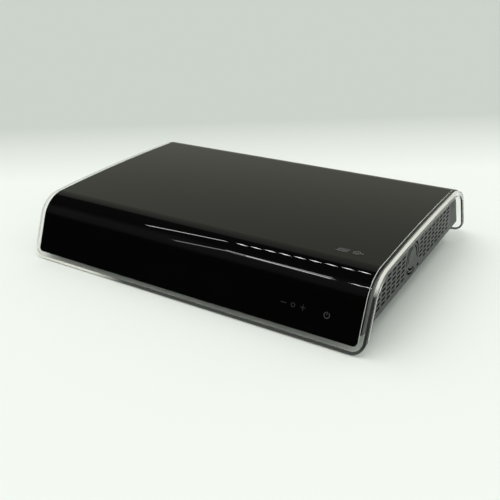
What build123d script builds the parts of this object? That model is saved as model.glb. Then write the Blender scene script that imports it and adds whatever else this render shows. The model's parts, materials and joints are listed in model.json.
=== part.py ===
from build123d import *
from math import atan2, cos, pi, radians, sin, sqrt, tan
import os

# A set-top box under a bent clear cover. Millimetres, +X right, +Y back, +Z up.
# The origin is on the floor, under the middle of the box.

# Outline of the bent cover, the same at the front and at the back
arch_depth = 262.4
arch_height = 59.3
arch_lean = 23.2
knee_radius = 29.5
crown_radius = 1955.0

# Clear cover, with a silver strip laid on its bevel and rubber under its edges
cover_width = 351.0
cover_thickness = 5.0
cover_corner = 11.0
bevel_width = 4.4
bevel_drop = 0.9
trim_width = 2.3
trim_thickness = 0.5
foot_strip_height = 1.0
foot_strip_width = 3.2
foot_strip_end_gap = 2.0
window_width = 264.0
window_top = 38.0
window_corner = 6.0

# Gloss panel laid in the cover
panel_side_border = 6.5
panel_front_border = 7.5
panel_rear_border = 6.0
panel_thickness = 1.5
panel_corner = 3.5
panel_gap = 0.3
glue_gap = 0.05

# How far a cutting shape reaches past what it cuts
overcut = 1.0

# How near two heights are taken for the same one
same_height = 0.01

# Side panels, with a grid of slots on each side of a round fan grille
side_reveal = 6.0
side_thickness = 2.5
side_gap = 0.5
side_bottom = 13.3
slot_length = 7.4
slot_height = 2.0
slot_pitch_y = 10.7
slot_pitch_z = 4.1
slot_first_row = 20.4
slot_start = 22.0
slot_front_columns = 6
slot_front_rows = 6
slot_full_rows = 4
slot_rear_columns = 8
slot_rear_rows = 7
slot_rear_skip = 1
fan_y = -14.7
fan_z = 31.7
grille_rings = ((9.6, 11.4), (13.5, 15.3))
grille_arcs = 3
grille_turn = 80.0
grille_spoke = 5.0
grille_wide_spoke = 9.5
lock_slot_length = 4.6
lock_slot_height = 3.0
lock_slot_reach = 15.6
lock_slot_z = 18.2

# Inner shroud under the cover
shroud_gap = 0.3
shroud_thickness = 1.5
shroud_side_gap = 0.3
shroud_rear_reach = 2.0
shroud_post_radius = 3.2
shroud_post_root = 0.4
shroud_post_skin = 0.7

# Sheet metal base
tray_thickness = 1.0
tray_gap = 0.2
tray_side_gap = 0.1
tray_flange = 2.0
tray_lip = 4.0
tray_lip_end = 21.9
tray_rear_lip = 3.6
tray_lip_gap = 0.1
tray_vent_length = 22.0
tray_vent_width = 3.0
tray_vent_pitch = 7.0
tray_vent_count = 10

# Rubber feet under the base
foot_radius = 9.5
foot_taper = 1.5
foot_peg_radius = 2.6
foot_peg_height = 3.0
foot_hole_gap = 0.1
foot_side_gap = 27.9
foot_front_set_back = 33.2
foot_rear_set_back = 44.0

# Rear panel
rear_set_back = 27.2
rear_thickness = 1.0
rear_top_gap = 0.4
cutout_gap = 0.3
socket_proud = 0.6
rear_screw_side_gap = 30.9
rear_screw_inner_x = (-46.0, 68.0)

# Circuit boards on their standoffs
board_lift = 5.0
board_thickness = 1.6
board_front_gap = 0.7
board_rear_gap = 1.2
main_board_side_gap = 17.0
main_board_right = 80.0
boards_apart = 4.0
power_board_side_gap = 15.0
board_hole_inset = 4.0
board_inner_row = 24.0
board_outer_row = 44.0
board_front_hole_x = -48.0
board_inner_hole_x = 12.0
standoff_radius = 2.6

# Screws, all of one thread, with pan heads
screw_radius = 1.2
screw_head_radius = 2.3
screw_head_height = 1.3
screw_clearance = 0.08
screw_bite = 3.4
rear_screw_end = 1.0
cover_screw_side_gap = 38.7
cover_screw_set_back = 61.2
cover_screw_depth = 2.4

# Mains inlet and its two pins
inlet_x = 118.0
inlet_width = 20.4
inlet_height = 12.6
inlet_depth = 18.0
inlet_mouth_width = 14.4
inlet_mouth_height = 7.6
inlet_mouth_depth = 12.6
inlet_pin_radius = 1.15
inlet_pin_spacing = 7.0
inlet_pin_set_back = 5.0
inlet_pin_tail = 3.0
inlet_corner = 1.5

# Rocker power switch
rocker_x = 94.0
rocker_z = 31.2
rocker_frame_width = 12.0
rocker_frame_height = 17.0
rocker_flange = 1.5
rocker_wall = 1.6
rocker_side_gap = 0.35
rocker_cavity_depth = 10.0
rocker_body_depth = 14.0
rocker_pivot_depth = 1.6
rocker_half_height = 6.3
rocker_middle_reach = 2.4
rocker_end_reach = 3.3
rocker_back_reach = 3.6
rocker_tilt = 8.0
rocker_pin_radius = 1.2
rocker_pin_gap = 0.05
rocker_pin_bite = 1.2
rocker_pin_fit = 0.02
terminal_width = 4.8
terminal_thickness = 0.8
terminal_length = 7.0
terminal_spacing = 9.0

# Reset button and its switch
reset_x = 76.0
reset_z_above_board = 3.7
reset_radius = 1.9
reset_hole_gap = 0.15
reset_flange_radius = 2.8
reset_flange_thickness = 1.0
reset_flange_gap = 0.05
reset_stem_length = 1.6
reset_proud = 1.4
reset_edge = 0.4
reset_travel = 0.8
reset_stop_gap = 0.1
reset_switch_width = 6.0
reset_switch_depth = 6.5
reset_switch_height = 7.2

# Signal sockets standing on the main board, by their place along X
scart_x = 44.0
scart_width = 47.0
scart_height = 15.4
scart_depth = 15.0
scart_wall = 1.3
scart_pin_rows = 10
scart_pin_pitch = 3.81
scart_rib_height = 0.8
scart_rib_lift = 0.3
scart_rib_set_back = 2.0
hdmi_x = 8.0
hdmi_width = 15.0
hdmi_height = 5.8
hdmi_depth = 12.0
network_x = -12.0
network_width = 16.0
network_height = 13.4
network_depth = 16.0
network_mouth_width = 12.0
network_mouth_height = 8.2
network_mouth_depth = 13.0
network_latch_depth = 2.0
usb_x = -34.0
usb_width = 13.2
usb_height = 5.9
usb_depth = 14.0
usb_tongue_width = 10.6
metal_shell_wall = 0.4
tongue_thickness = 1.6
tongue_set_back = 1.2
optical_x = -50.0
optical_size = 9.7
optical_mouth = 7.6
optical_mouth_depth = 6.4
optical_depth = 13.0
audio_x = -76.0
audio_pitch = 14.0
audio_count = 3
audio_block_width = 38.0
audio_block_height = 10.4
audio_block_depth = 12.0
audio_barrel_radius = 4.15
audio_barrel_wall = 0.5
audio_barrel_length = 8.0
audio_core_radius = 3.4
audio_core_bore = 1.6
audio_core_length = 7.0
audio_core_bore_depth = 6.0
aerial_x = -114.0
aerial_pitch = 20.0
aerial_height = 6.2
aerial_radius = 4.75
aerial_bore = 3.0
aerial_length = 9.5
aerial_nut_radius = 6.4
aerial_nut_thickness = 2.2
aerial_core_bore = 0.9
aerial_core_depth = 7.0
aerial_core_gap = 0.05
aerial_core_set_back = 0.5
tuner_width = 36.0
tuner_depth = 40.0
tuner_height = 12.4
tuner_split = 0.6
tuner_corner = 0.8

# Smart card reader on legs above the main board
card_x = -65.0
card_z = 35.4
card_reader_width = 60.0
card_reader_depth = 58.0
card_reader_height = 6.0
card_mouth_width = 56.0
card_mouth_height = 4.4
card_mouth_depth = 8.0
card_slot_width = 54.6
card_slot_height = 1.3
card_slot_depth = 48.0
card_leg_size = 4.0

# Chips on the main board: X, distance behind the board's middle, width, depth and height
chip_sizes = ((-12.0, -4.4, 27.0, 27.0, 2.2), (30.0, -18.4, 14.0, 10.0, 1.2),
              (30.0, -2.4, 14.0, 10.0, 1.2), (48.0, -8.4, 12.0, 18.0, 1.2))
heat_sink_size = 30.0
heat_sink_base = 2.0
heat_sink_height = 11.0
heat_sink_fins = 8
heat_sink_fin = 1.2

# Power supply parts
transformer_core = (22.0, 16.0, 18.0)
transformer_window = 4.0
transformer_fuse_gap = 0.8
winding_gap = 0.3
winding_reach = 5.5
winding_corner = 2.0
capacitor_radius = 5.0
capacitor_height = 20.0
capacitor_side_gap = 15.0
capacitor_rear_gap = 27.5
capacitor_pitch = 12.0
capacitor_count = 3
capacitor_dome = 0.8
heat_plate_thickness = 2.0
heat_plate_length = 35.0
heat_plate_height = 18.0
fuse_radius = 2.6
fuse_wall = 0.3
fuse_length = 20.0
fuse_lift = 1.2
fuse_cap = 5.0
fuse_foot = 2.0
fuse_rear_gap = 24.6

# Fan
fan_size = 30.0
fan_depth = 10.0
fan_corner = 2.5
fan_gap = 0.2
fan_bore_radius = 14.2
fan_hole_pitch = 24.0
fan_hub_radius = 7.4
fan_hub_wall = 1.0
fan_hub_length = 7.4
fan_blade_gap = 0.7
fan_blades = 7
fan_blade_thickness = 0.9
fan_blade_chord = 6.6
fan_blade_angle = 42.0
fan_shaft_radius = 1.0
fan_running_gap = 0.05
fan_boss_radius = 3.0
fan_boss_length = 3.6
fan_struts = 3
fan_strut_turn = 30.0
fan_strut_width = 2.2
fan_strut_root = 0.4
fan_plate_thickness = 1.2
fan_end_gap = 0.5
fan_screw_bite = 1.8

# Hard disk between the two plates of its cradle
disk_length = 147.0
disk_width = 101.6
disk_height = 26.1
disk_side_gap = 15.0
disk_front_set_back = 45.2
disk_lift = 4.0
disk_corner = 3.0
disk_lid_corner = 6.0
disk_chip_size = 16.0
disk_board_height = 2.4
disk_board_margin = 8.0
disk_lid_height = 1.2
disk_lid_margin = 2.0
disk_connector = (4.0, 42.0, 6.0)
disk_screw_z = 7.4
disk_screw_x = (28.5, 70.0, 130.0)
disk_screw_depth = 3.0
grommet_radius = 5.0
grommet_thickness = 1.6
grommet_gap = 0.05
cradle_thickness = 1.0
cradle_height = 20.0
cradle_ear = 8.0
cradle_overhang = 4.0

# Front board behind the gloss panel
front_board_display_gap = 44.0
front_board_side_gap = 15.0
front_board_height = 17.0
front_board_middle = 30.0
front_board_lift = 3.2
front_hole_inset = 5.0
front_middle_hole_x = 33.0
display_x = -20.0
display_width = 92.0
display_height = 13.0
display_gap = 0.3
touch_pad_radius = 3.6
touch_pad_along = 26.0
touch_pad_side_gaps = (66.1, 57.5, 48.8, 28.5)
touch_pad_gap = 0.4
receiver_x = 62.0
receiver_width = 7.0
receiver_height = 8.0
receiver_lens = 2.5
status_light_x = 78.0
status_light_radius = 1.5

# Cables inside
ribbon_width = 16.0
ribbon_thickness = 0.8
ribbon_x = 48.0
ribbon_bend = 4.0
ribbon_reach = 12.0
ribbon_rise = 6.0
ribbon_board_gap = 8.0
disk_cable_radius = 2.0
disk_cable_reach = 9.0
disk_cable_along = (56.0, 34.0)
disk_cable_rise = 8.0
disk_cable_bend = 3.5
harness_wire_radius = 0.9
harness_wires = 4
harness_pitch = 3.0
harness_arch = 9.0
fan_wire_radius = 0.8
fan_wire_bend = 2.0
fan_wire_side_gap = 6.0
fan_wire_front_gap = 4.0
fan_wire_height = 3.0
fan_wire_rise = 6.0
plug_height = 6.0
plug_margin = 2.0

# Values that follow from those above
lean = radians(arch_lean)
crown_z = arch_height - crown_radius
cover_half = cover_width / 2
panel_half = cover_half - panel_side_border
panel_rear_low = window_top + panel_rear_border
side_outer_x = cover_half - side_reveal
side_inner_x = side_outer_x - side_thickness
side_inset = cover_thickness + side_gap
rear_y = arch_depth / 2 - rear_set_back
shroud_outer = cover_thickness + shroud_gap
shroud_inner = shroud_outer + shroud_thickness
shroud_half = side_inner_x - shroud_side_gap
tray_half = side_inner_x - tray_side_gap
tray_top = side_bottom + tray_thickness
board_bottom = tray_top + board_lift
board_top = board_bottom + board_thickness
rear_inner_y = rear_y - rear_thickness
board_rear_y = rear_inner_y - board_rear_gap
screw_hole = screw_radius + screw_clearance
disk_left = disk_side_gap - side_inner_x
disk_right = disk_left + disk_length
disk_front_y = disk_front_set_back - arch_depth / 2
disk_rear_y = disk_front_y + disk_width
cradle_reach = grommet_thickness + 2 * grommet_gap + cradle_thickness
board_front_y = disk_rear_y + cradle_reach + board_front_gap
board_middle_y = (board_front_y + board_rear_y) / 2
main_board_left = main_board_side_gap - side_inner_x
power_board_left = main_board_right + boards_apart
power_board_right = side_inner_x - power_board_side_gap
power_board_middle = (power_board_left + power_board_right) / 2
heat_plate_x = power_board_right - board_hole_inset / 2 - heat_plate_thickness
capacitor_x = power_board_left + capacitor_side_gap
transformer_x = (capacitor_x + capacitor_radius + heat_plate_x) / 2
fuse_y = rear_y - fuse_rear_gap
winding_depth = transformer_core[1] + 2 * winding_reach
transformer_y = fuse_y - fuse_radius - transformer_fuse_gap - winding_depth / 2
disk_bottom = tray_top + disk_lift
disk_top = disk_bottom + disk_height
disk_body_bottom = disk_bottom + disk_board_height
disk_body_top = disk_top - disk_lid_height
front_board_face = shroud_inner + front_board_lift
front_board_back = front_board_face + board_thickness
front_board_left = display_x - display_width / 2 - front_board_display_gap
front_board_right = side_inner_x - front_board_side_gap
touch_pad_x = [side_outer_x - gap for gap in touch_pad_side_gaps]
disk_cable_y = [disk_front_y + along for along in disk_cable_along]
foot_x = tray_half - foot_side_gap
tray_lip_half = tray_half - tray_lip_end
fan_outer_x = side_inner_x - fan_gap
fan_inner_x = fan_outer_x - fan_depth


def knee_place():
    # The knee's circle touches the leaning front and the crown's circle, both from inside.
    start_y = -arch_depth / 2 + knee_radius * cos(lean)
    start_z = -knee_radius * sin(lean) - crown_z
    half = start_y * sin(lean) + start_z * cos(lean)
    reach = (crown_radius - knee_radius) ** 2 - start_y ** 2 - start_z ** 2
    along = -half + sqrt(half ** 2 + reach)
    return start_y + along * sin(lean), start_z + along * cos(lean) + crown_z


knee_y, knee_z = knee_place()
knee_front_angle = pi - lean
knee_crown_angle = atan2(knee_z - crown_z, knee_y)


def knee_point(inset, angle):
    radius = knee_radius - inset
    return knee_y + radius * cos(angle), knee_z + radius * sin(angle)


def front_y(inset, z):
    # Y of the straight front, set in by inset, at height z
    return -arch_depth / 2 + z * tan(lean) + inset / cos(lean)


def arch_z(inset, y):
    # Height of the outline, set in by inset, over the crown or over a knee
    distance = abs(y)
    if distance <= -knee_point(inset, knee_crown_angle)[0]:
        return crown_z + sqrt((crown_radius - inset) ** 2 - distance ** 2)
    return knee_z + sqrt((knee_radius - inset) ** 2 - (distance + knee_y) ** 2)


def arch_face(inset, bottom):
    # Upright face under the outline, set in by inset and closed by a level line at bottom
    foot = (front_y(inset, bottom), bottom)
    low = knee_point(inset, knee_front_angle)
    middle = knee_point(inset, (knee_front_angle + knee_crown_angle) / 2)
    high = knee_point(inset, knee_crown_angle)
    top = (0, arch_height - inset)
    rear = [(-y, z) for y, z in (high, middle, low, foot)]
    edges = [
        Line(foot, low),
        ThreePointArc(low, middle, high),
        ThreePointArc(high, top, rear[0]),
        ThreePointArc(rear[0], rear[1], rear[2]),
        Line(rear[2], rear[3]),
        Line(rear[3], foot),
    ]
    return Plane.YZ * Face(Wire(edges))


def arch_core(inset, half_width, bottom):
    return extrude(arch_face(inset, bottom), half_width, both=True)


def arch_slab(outer, inner, half_width, bottom):
    # Bent sheet between two insets of the outline, cut off level at bottom
    below = bottom - 2 * (inner - outer)
    return arch_core(outer, half_width, bottom) - arch_core(inner, half_width + overcut, below)


def centred(middle, width):
    return middle - width / 2, middle + width / 2


def block(x, y, z):
    # Box between pairs of low and high values
    pairs = (x, y, z)
    size = [high - low for low, high in pairs]
    middle = [(high + low) / 2 for low, high in pairs]
    return Pos(*middle) * Box(*size)


def rod_x(radius, x, y, z):
    # Round bar along X between a pair of X values
    return Pos(sum(x) / 2, y, z) * Rot(0, 90, 0) * Cylinder(radius, x[1] - x[0])


def rod_y(radius, x, y, z):
    return Pos(x, sum(y) / 2, z) * Rot(90, 0, 0) * Cylinder(radius, y[1] - y[0])


def rod_z(radius, x, y, z):
    return Pos(x, y, sum(z) / 2) * Cylinder(radius, z[1] - z[0])


def slanted(x, along, inset):
    # Placed at X, at a distance up the leaning front and at an inset from it; local Z points out.
    y = -arch_depth / 2 + along * sin(lean) + inset * cos(lean)
    z = along * cos(lean) - inset * sin(lean)
    return Plane(origin=(x, y, z), x_dir=(1, 0, 0), z_dir=(0, -cos(lean), sin(lean)))


def slant_block(x, along, inset):
    # Box square to the leaning front, between pairs of X, slope and inset values
    place = slanted(sum(x) / 2, sum(along) / 2, sum(inset) / 2)
    return place * Box(x[1] - x[0], along[1] - along[0], inset[1] - inset[0])


def slant_rod(radius, x, along, inset):
    return slanted(x, along, sum(inset) / 2) * Cylinder(radius, inset[1] - inset[0])


def group(pieces):
    # Separate solids kept together in one node
    solids = []
    for piece in pieces:
        solids.extend(piece.solids())
    return Compound(children=solids)


def round_ends(length, height, depth):
    # Solid slot along local X with round ends, centred on its plane
    return extrude(SlotOverall(length, height), depth / 2, both=True)


def screw(head_face, length):
    # Pan-head screw; local Z points out of the head, the head's underside at local zero
    head = Pos(0, 0, screw_head_height / 2) * Cylinder(screw_head_radius, screw_head_height)
    head = fillet(head.edges().filter_by(GeomType.CIRCLE).sort_by(Axis.Z)[-1], screw_head_height / 3)
    shank = Pos(0, 0, -length / 2) * Cylinder(screw_radius, length)
    depth = screw_head_height / 2
    recess = Pos(0, 0, screw_head_height - depth / 2) * Box(screw_head_radius, depth, depth)
    recess += Pos(0, 0, screw_head_height - depth / 2) * Box(depth, screw_head_radius, depth)
    return head_face * (head + shank - recess)


def faces_up(x, y, z):
    return Plane(origin=(x, y, z), x_dir=(1, 0, 0), z_dir=(0, 0, 1))


def faces_down(x, y, z):
    return Plane(origin=(x, y, z), x_dir=(1, 0, 0), z_dir=(0, 0, -1))


def faces_back(x, y, z):
    return Plane(origin=(x, y, z), x_dir=(1, 0, 0), z_dir=(0, 1, 0))


def faces_front(x, y, z):
    return Plane(origin=(x, y, z), x_dir=(1, 0, 0), z_dir=(0, -1, 0))


def faces_right(x, y, z):
    return Plane(origin=(x, y, z), x_dir=(0, 1, 0), z_dir=(1, 0, 0))


# Cover, gloss panel, silver strip and rubber


def edges_at(edges, z):
    return edges.filter_by_position(Axis.Z, z - same_height, z + same_height)


def rounded_foot(slab, bottom, radius):
    # Rounds the four lower corners of a bent sheet
    edges = slab.edges().filter_by(Axis.Y)
    return fillet(edges_at(edges, bottom), radius)


def bevelled_sheet(outer):
    # The cover's bent sheet with a shallow bevel round its outer face
    sheet = arch_slab(outer, cover_thickness, cover_half, foot_strip_height)
    sheet = rounded_foot(sheet, foot_strip_height, cover_corner)
    flats = sheet.faces().filter_by(GeomType.PLANE)
    face = [f for f in flats if f.normal_at().Y < -0.5 and f.normal_at().Z > 0.1][0]
    edge = face.edges().filter_by(Axis.X).sort_by(Axis.Z)[0]
    return chamfer(edge, bevel_width, bevel_drop, reference=face)


def window_cutter():
    # Way out for plugs and cables through the rear of the cover
    tall = block(centred(0, window_width), (rear_y, arch_depth), (-window_top, window_top))
    return fillet(tall.edges().filter_by(Axis.Y).group_by(Axis.Z)[-1], window_corner)


def panel_sheet(outer, inner, grow):
    # The gloss panel's outline, grown all round by grow, between two insets
    low = panel_front_border - grow
    rear_low = panel_rear_low - grow
    sheet = arch_slab(outer, inner, panel_half + grow, low)
    sheet -= block(centred(0, cover_width + overcut), (0, arch_depth), (-overcut, rear_low))
    sheet = fillet(edges_at(sheet.edges().filter_by(Axis.Y), low), panel_corner + grow)
    return fillet(edges_at(sheet.edges().filter_by(Axis.Y), rear_low), panel_corner + grow)


def strip_sheet():
    # The silver strip before the window is cut: the outer rim of the bevel
    strip = bevelled_sheet(0) - bevelled_sheet(trim_thickness)
    rim_bottom = foot_strip_height + trim_width
    half = cover_half - trim_width
    inside = arch_slab(-overcut, cover_thickness + overcut, half, rim_bottom)
    return strip - rounded_foot(inside, rim_bottom, cover_corner - trim_width)


def cover_screw_places():
    side = shroud_half - cover_screw_side_gap
    end = arch_depth / 2 - cover_screw_set_back
    return [(x, y) for x in (-side, 0, side) for y in (-end, end)]


def clear_cover():
    cover = bevelled_sheet(0) - strip_sheet()
    cover -= panel_sheet(-overcut, panel_thickness + glue_gap, panel_gap)
    cover -= window_cutter()
    for x, y in cover_screw_places():
        low = arch_z(cover_thickness, y)
        deep = (low - overcut, low + cover_screw_depth + screw_clearance)
        cover -= rod_z(screw_hole, x, y, deep)
    return cover


def edge_trim():
    return strip_sheet() - window_cutter()


def gloss_panel():
    return panel_sheet(-overcut, panel_thickness, 0) & arch_core(0, cover_half, 0)


def cover_foot_strips():
    # Rubber under the cover's front edge and under its two rear legs
    reach = cover_half - cover_corner - foot_strip_end_gap
    inner_edge = -front_y(cover_thickness, foot_strip_height)
    depth = (inner_edge, inner_edge + foot_strip_width)
    front = block((-reach, reach), (-depth[1], -depth[0]), (0, foot_strip_height))
    start = window_width / 2 + foot_strip_end_gap
    left = block((-reach, -start), depth, (0, foot_strip_height))
    right = block((start, reach), depth, (0, foot_strip_height))
    return group([front, left, right])


# Side panels and shroud


def slot_places():
    # Towards the front each row above the full ones starts one slot later. The lowest slot
    # beside the fan is left out, where the grille's wide spoke runs out.
    places = []
    for row in range(max(slot_front_rows, slot_rear_rows)):
        z = slot_first_row + row * slot_pitch_z
        front_count = slot_front_columns - max(0, row + 1 - slot_full_rows)
        first = 1 if row < slot_rear_skip else 0
        if row < slot_front_rows:
            for column in range(front_count):
                places.append((fan_y - slot_start - column * slot_pitch_y, z))
        if row < slot_rear_rows:
            for column in range(first, slot_rear_columns):
                places.append((fan_y + slot_start + column * slot_pitch_y, z))
    return places


def grille_cutter(inner, outer, depth):
    # Arcs of a ring, parted by spokes of which the last is the wide one
    ring = Cylinder(outer, depth) - Cylinder(inner, depth + overcut)
    for arc in range(grille_arcs):
        width = grille_wide_spoke if arc == grille_arcs - 1 else grille_spoke
        spoke = Pos(outer / 2, 0, 0) * Box(outer, width, depth + overcut)
        ring -= Rot(0, 0, grille_turn + arc * 360 / grille_arcs) * spoke
    return ring


def side_panel(side):
    middle = side * (side_outer_x + side_inner_x) / 2
    face = arch_face(side_inset, side_bottom)
    panel = Pos(middle, 0, 0) * extrude(face, side_thickness / 2, both=True)
    depth = side_thickness + 2 * overcut
    slot = round_ends(slot_length, slot_height, depth)
    cuts = [faces_right(middle, y, z) * slot for y, z in slot_places()]
    lock = round_ends(lock_slot_length, lock_slot_height, depth)
    cuts.append(faces_right(middle, fan_y + lock_slot_reach, lock_slot_z) * lock)
    for inner, outer in grille_rings:
        arcs = faces_right(middle, fan_y, fan_z) * grille_cutter(inner, outer, depth)
        cuts.extend(arcs.solids())
    panel -= cuts
    if side > 0:
        deep = (side_inner_x - overcut, side_inner_x + fan_screw_bite + screw_clearance)
        for y, z in fan_screw_places():
            panel -= rod_x(screw_hole, deep, y, z)
    return panel


def left_side_panel():
    return side_panel(-1)


def right_side_panel():
    return side_panel(1)


def front_post_places():
    ends = (front_board_left + front_hole_inset, front_board_right - front_hole_inset)
    return [(x, front_board_middle) for x in (ends[0], front_middle_hole_x, ends[1])]


def inner_shroud():
    # Dark bent sheet that hides the works and carries the front board
    shroud = arch_slab(shroud_outer, shroud_inner, shroud_half, side_bottom)
    rear_cut = rear_y + shroud_rear_reach
    shroud -= block(centred(0, cover_width), (rear_cut, arch_depth), (0, arch_height))
    post = (shroud_outer + shroud_post_root, front_board_face)
    for x, along in front_post_places():
        shroud += slant_rod(shroud_post_radius, x, along, post)
    bore = (shroud_outer + shroud_post_skin, front_board_face + overcut)
    for x, along in front_post_places():
        shroud -= slant_rod(screw_hole, x, along, bore)
    through = (0, front_board_face)
    wide = centred(display_x, display_width + 2 * display_gap)
    tall = centred(front_board_middle, display_height + 2 * display_gap)
    shroud -= slant_block(wide, tall, through)
    for x in touch_pad_x:
        shroud -= slant_rod(touch_pad_radius + touch_pad_gap, x, touch_pad_along, through)
    wide = centred(receiver_x, receiver_width + 2 * display_gap)
    tall = centred(front_board_middle, receiver_height + 2 * display_gap)
    shroud -= slant_block(wide, tall, through)
    light_hole = status_light_radius + display_gap
    shroud -= slant_rod(light_hole, status_light_x, front_board_middle, through)
    for x, y in cover_screw_places():
        top = arch_z(shroud_outer, y)
        shroud -= rod_z(screw_hole, x, y, (top - 2 * shroud_thickness, top + overcut))
    return shroud


def cover_screw_set():
    screws = []
    for x, y in cover_screw_places():
        seat = arch_z(shroud_inner, y) - screw_clearance
        length = arch_z(cover_thickness, y) + cover_screw_depth - seat
        screws.append(screw(faces_down(x, y, seat), length))
    return screws


# Base


def foot_places():
    ends = (foot_front_set_back - arch_depth / 2, rear_y - foot_rear_set_back)
    return [(x, y) for x in (-foot_x, foot_x) for y in ends]


def main_board_holes():
    left = main_board_left + board_hole_inset
    right = main_board_right - board_hole_inset
    front = board_front_y + board_hole_inset
    inner = board_rear_y - board_inner_row
    outer = board_rear_y - board_outer_row
    return [(left, front), (board_front_hole_x, front), (right, front),
            (left, outer), (board_inner_hole_x, inner), (right, inner)]


def power_board_holes():
    ends = (power_board_left + board_hole_inset, power_board_right - board_hole_inset)
    rows = (board_front_y + board_hole_inset, board_rear_y - board_hole_inset)
    return [(x, y) for x in ends for y in rows]


def cradle_plate_y():
    # Outer faces of the cradle's front and rear plates
    return disk_front_y - cradle_reach, disk_rear_y + cradle_reach


def cradle_screw_places():
    front, rear = cradle_plate_y()
    ends = (disk_left + cradle_ear, disk_right - cradle_ear)
    inward = cradle_thickness + cradle_ear / 2
    return [(x, y) for x in ends for y in (front + inward, rear - inward)]


def tray_vent_places():
    # Under the middle of the disk and under the middle of the power supply board
    rows = [(row - (tray_vent_count - 1) / 2) * tray_vent_pitch for row in range(tray_vent_count)]
    disk_middle = ((disk_left + disk_right) / 2, (disk_front_y + disk_rear_y) / 2)
    board_middle = (power_board_middle, board_middle_y)
    return [(x, y + row) for x, y in (disk_middle, board_middle) for row in rows]


def base_tray():
    front = front_y(shroud_inner + tray_gap, tray_top)
    tray = block((-tray_half, tray_half), (front, rear_y), (side_bottom, tray_top))
    inset = (shroud_inner + tray_gap, shroud_inner + tray_gap + tray_thickness)
    start = (side_bottom + tray_lip_gap + inset[1] * sin(lean)) / cos(lean)
    wide = (-tray_lip_half, tray_lip_half)
    tray += slant_block(wide, (start, start + tray_lip), inset)
    rear_lip = (rear_inner_y - tray_thickness, rear_inner_y)
    tray += block(wide, rear_lip, (side_bottom, tray_top + tray_rear_lip))
    long = (front + tray_lip, rear_inner_y - 2 * tray_thickness)
    for side in (-1, 1):
        edge = sorted((side * tray_half, side * (tray_half - tray_thickness)))
        tray += block(edge, long, (side_bottom, tray_top + tray_flange))
    deep = (side_bottom - overcut, tray_top + overcut)
    for x, y in foot_places():
        tray -= rod_z(foot_peg_radius + foot_hole_gap, x, y, deep)
    for x, y in main_board_holes() + power_board_holes() + cradle_screw_places():
        tray -= rod_z(screw_hole, x, y, deep)
    for x, z in rear_screw_places():
        tray -= rod_y(screw_hole, x, (rear_inner_y - 2 * tray_thickness, rear_y), z)
    slot = round_ends(tray_vent_length, tray_vent_width, 4 * tray_thickness)
    for x, y in tray_vent_places():
        tray -= Pos(x, y, side_bottom) * slot
    return tray


def rubber_feet():
    # Tapered feet with a peg pushed up through the base
    feet = []
    for x, y in foot_places():
        foot = Pos(x, y, side_bottom / 2) * Cone(foot_radius - foot_taper, foot_radius, side_bottom)
        peg = rod_z(foot_peg_radius, x, y, (side_bottom / 2, side_bottom + foot_peg_height))
        feet.append(foot + peg)
    return group(feet)


# Rear panel and its sockets


def on_board(height):
    return board_top, board_top + height


def rear_screw_places():
    z = tray_top + tray_rear_lip / 2
    side = tray_half - rear_screw_side_gap
    return [(x, z) for x in (-side, *rear_screw_inner_x, side)]


def audio_places():
    first = audio_x - audio_pitch * (audio_count - 1) / 2
    return [first + index * audio_pitch for index in range(audio_count)]


def aerial_places():
    return [aerial_x - aerial_pitch / 2, aerial_x + aerial_pitch / 2]


def rear_cutouts():
    # X, Z, width and height of each square hole in the rear panel
    return [
        (inlet_x, board_top + inlet_height / 2, inlet_width, inlet_height),
        (rocker_x, rocker_z, rocker_frame_width, rocker_frame_height),
        (scart_x, board_top + scart_height / 2, scart_width, scart_height),
        (hdmi_x, board_top + hdmi_height / 2, hdmi_width, hdmi_height),
        (network_x, board_top + network_height / 2, network_width, network_height),
        (usb_x, board_top + usb_height / 2, usb_width, usb_height),
        (optical_x, board_top + optical_size / 2, optical_size, optical_size),
        (audio_x, board_top + audio_block_height / 2, audio_block_width, audio_block_height),
        (card_x, card_z, card_reader_width, card_reader_height),
    ]


def rear_panel():
    deep = (rear_inner_y - overcut, rear_y + overcut)
    top = arch_z(shroud_inner, rear_y) - rear_top_gap
    panel = block((-tray_half, tray_half), (rear_inner_y, rear_y), (tray_top, top))
    for x, z, width, height in rear_cutouts():
        wide = centred(x, width + 2 * cutout_gap)
        panel -= block(wide, deep, centred(z, height + 2 * cutout_gap))
    for x in aerial_places():
        panel -= rod_y(aerial_radius + cutout_gap, x, deep, board_top + aerial_height)
    panel -= rod_y(reset_radius + reset_hole_gap, reset_x, deep, board_top + reset_z_above_board)
    for x, z in rear_screw_places():
        panel -= rod_y(screw_hole, x, deep, z)
    return panel


def case_screws():
    # Up into the cover, through the rear panel into the base, and through the fan into the side
    length = rear_thickness + tray_thickness + rear_screw_end
    rear = [screw(faces_back(x, rear_y, z), length) for x, z in rear_screw_places()]
    return group(cover_screw_set() + rear + fan_screw_set())


def open_shell(x, height, width, depth, wall):
    # Metal or plastic socket shell standing on a board, open to the rear
    outer = block(centred(x, width), (rear_y - depth, rear_y + socket_proud), on_board(height))
    middle = board_top + height / 2
    deep = (rear_y - depth + 2 * wall, rear_y + socket_proud + overcut)
    return outer - block(centred(x, width - 2 * wall), deep, centred(middle, height - 2 * wall))


def tongue(x, height, width, depth, wall):
    # Contact blade inside a socket shell, joined to the shell's end wall
    middle = board_top + height / 2
    along = (rear_y - depth + wall, rear_y + socket_proud - tongue_set_back)
    return block(centred(x, width), along, centred(middle, tongue_thickness))


def mains_inlet():
    y = (rear_y - inlet_depth, rear_y + socket_proud)
    body = block(centred(inlet_x, inlet_width), y, on_board(inlet_height))
    body = fillet(body.edges().filter_by(Axis.Y), inlet_corner)
    z = board_top + inlet_height / 2
    mouth = round_ends(inlet_mouth_width, inlet_mouth_height, 2 * inlet_mouth_depth)
    body -= faces_back(inlet_x, y[1], z) * mouth
    for pin in inlet_pin_places():
        body -= rod_y(inlet_pin_radius + aerial_core_gap, pin, (y[0] - overcut, y[1]), z)
    return body


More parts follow.
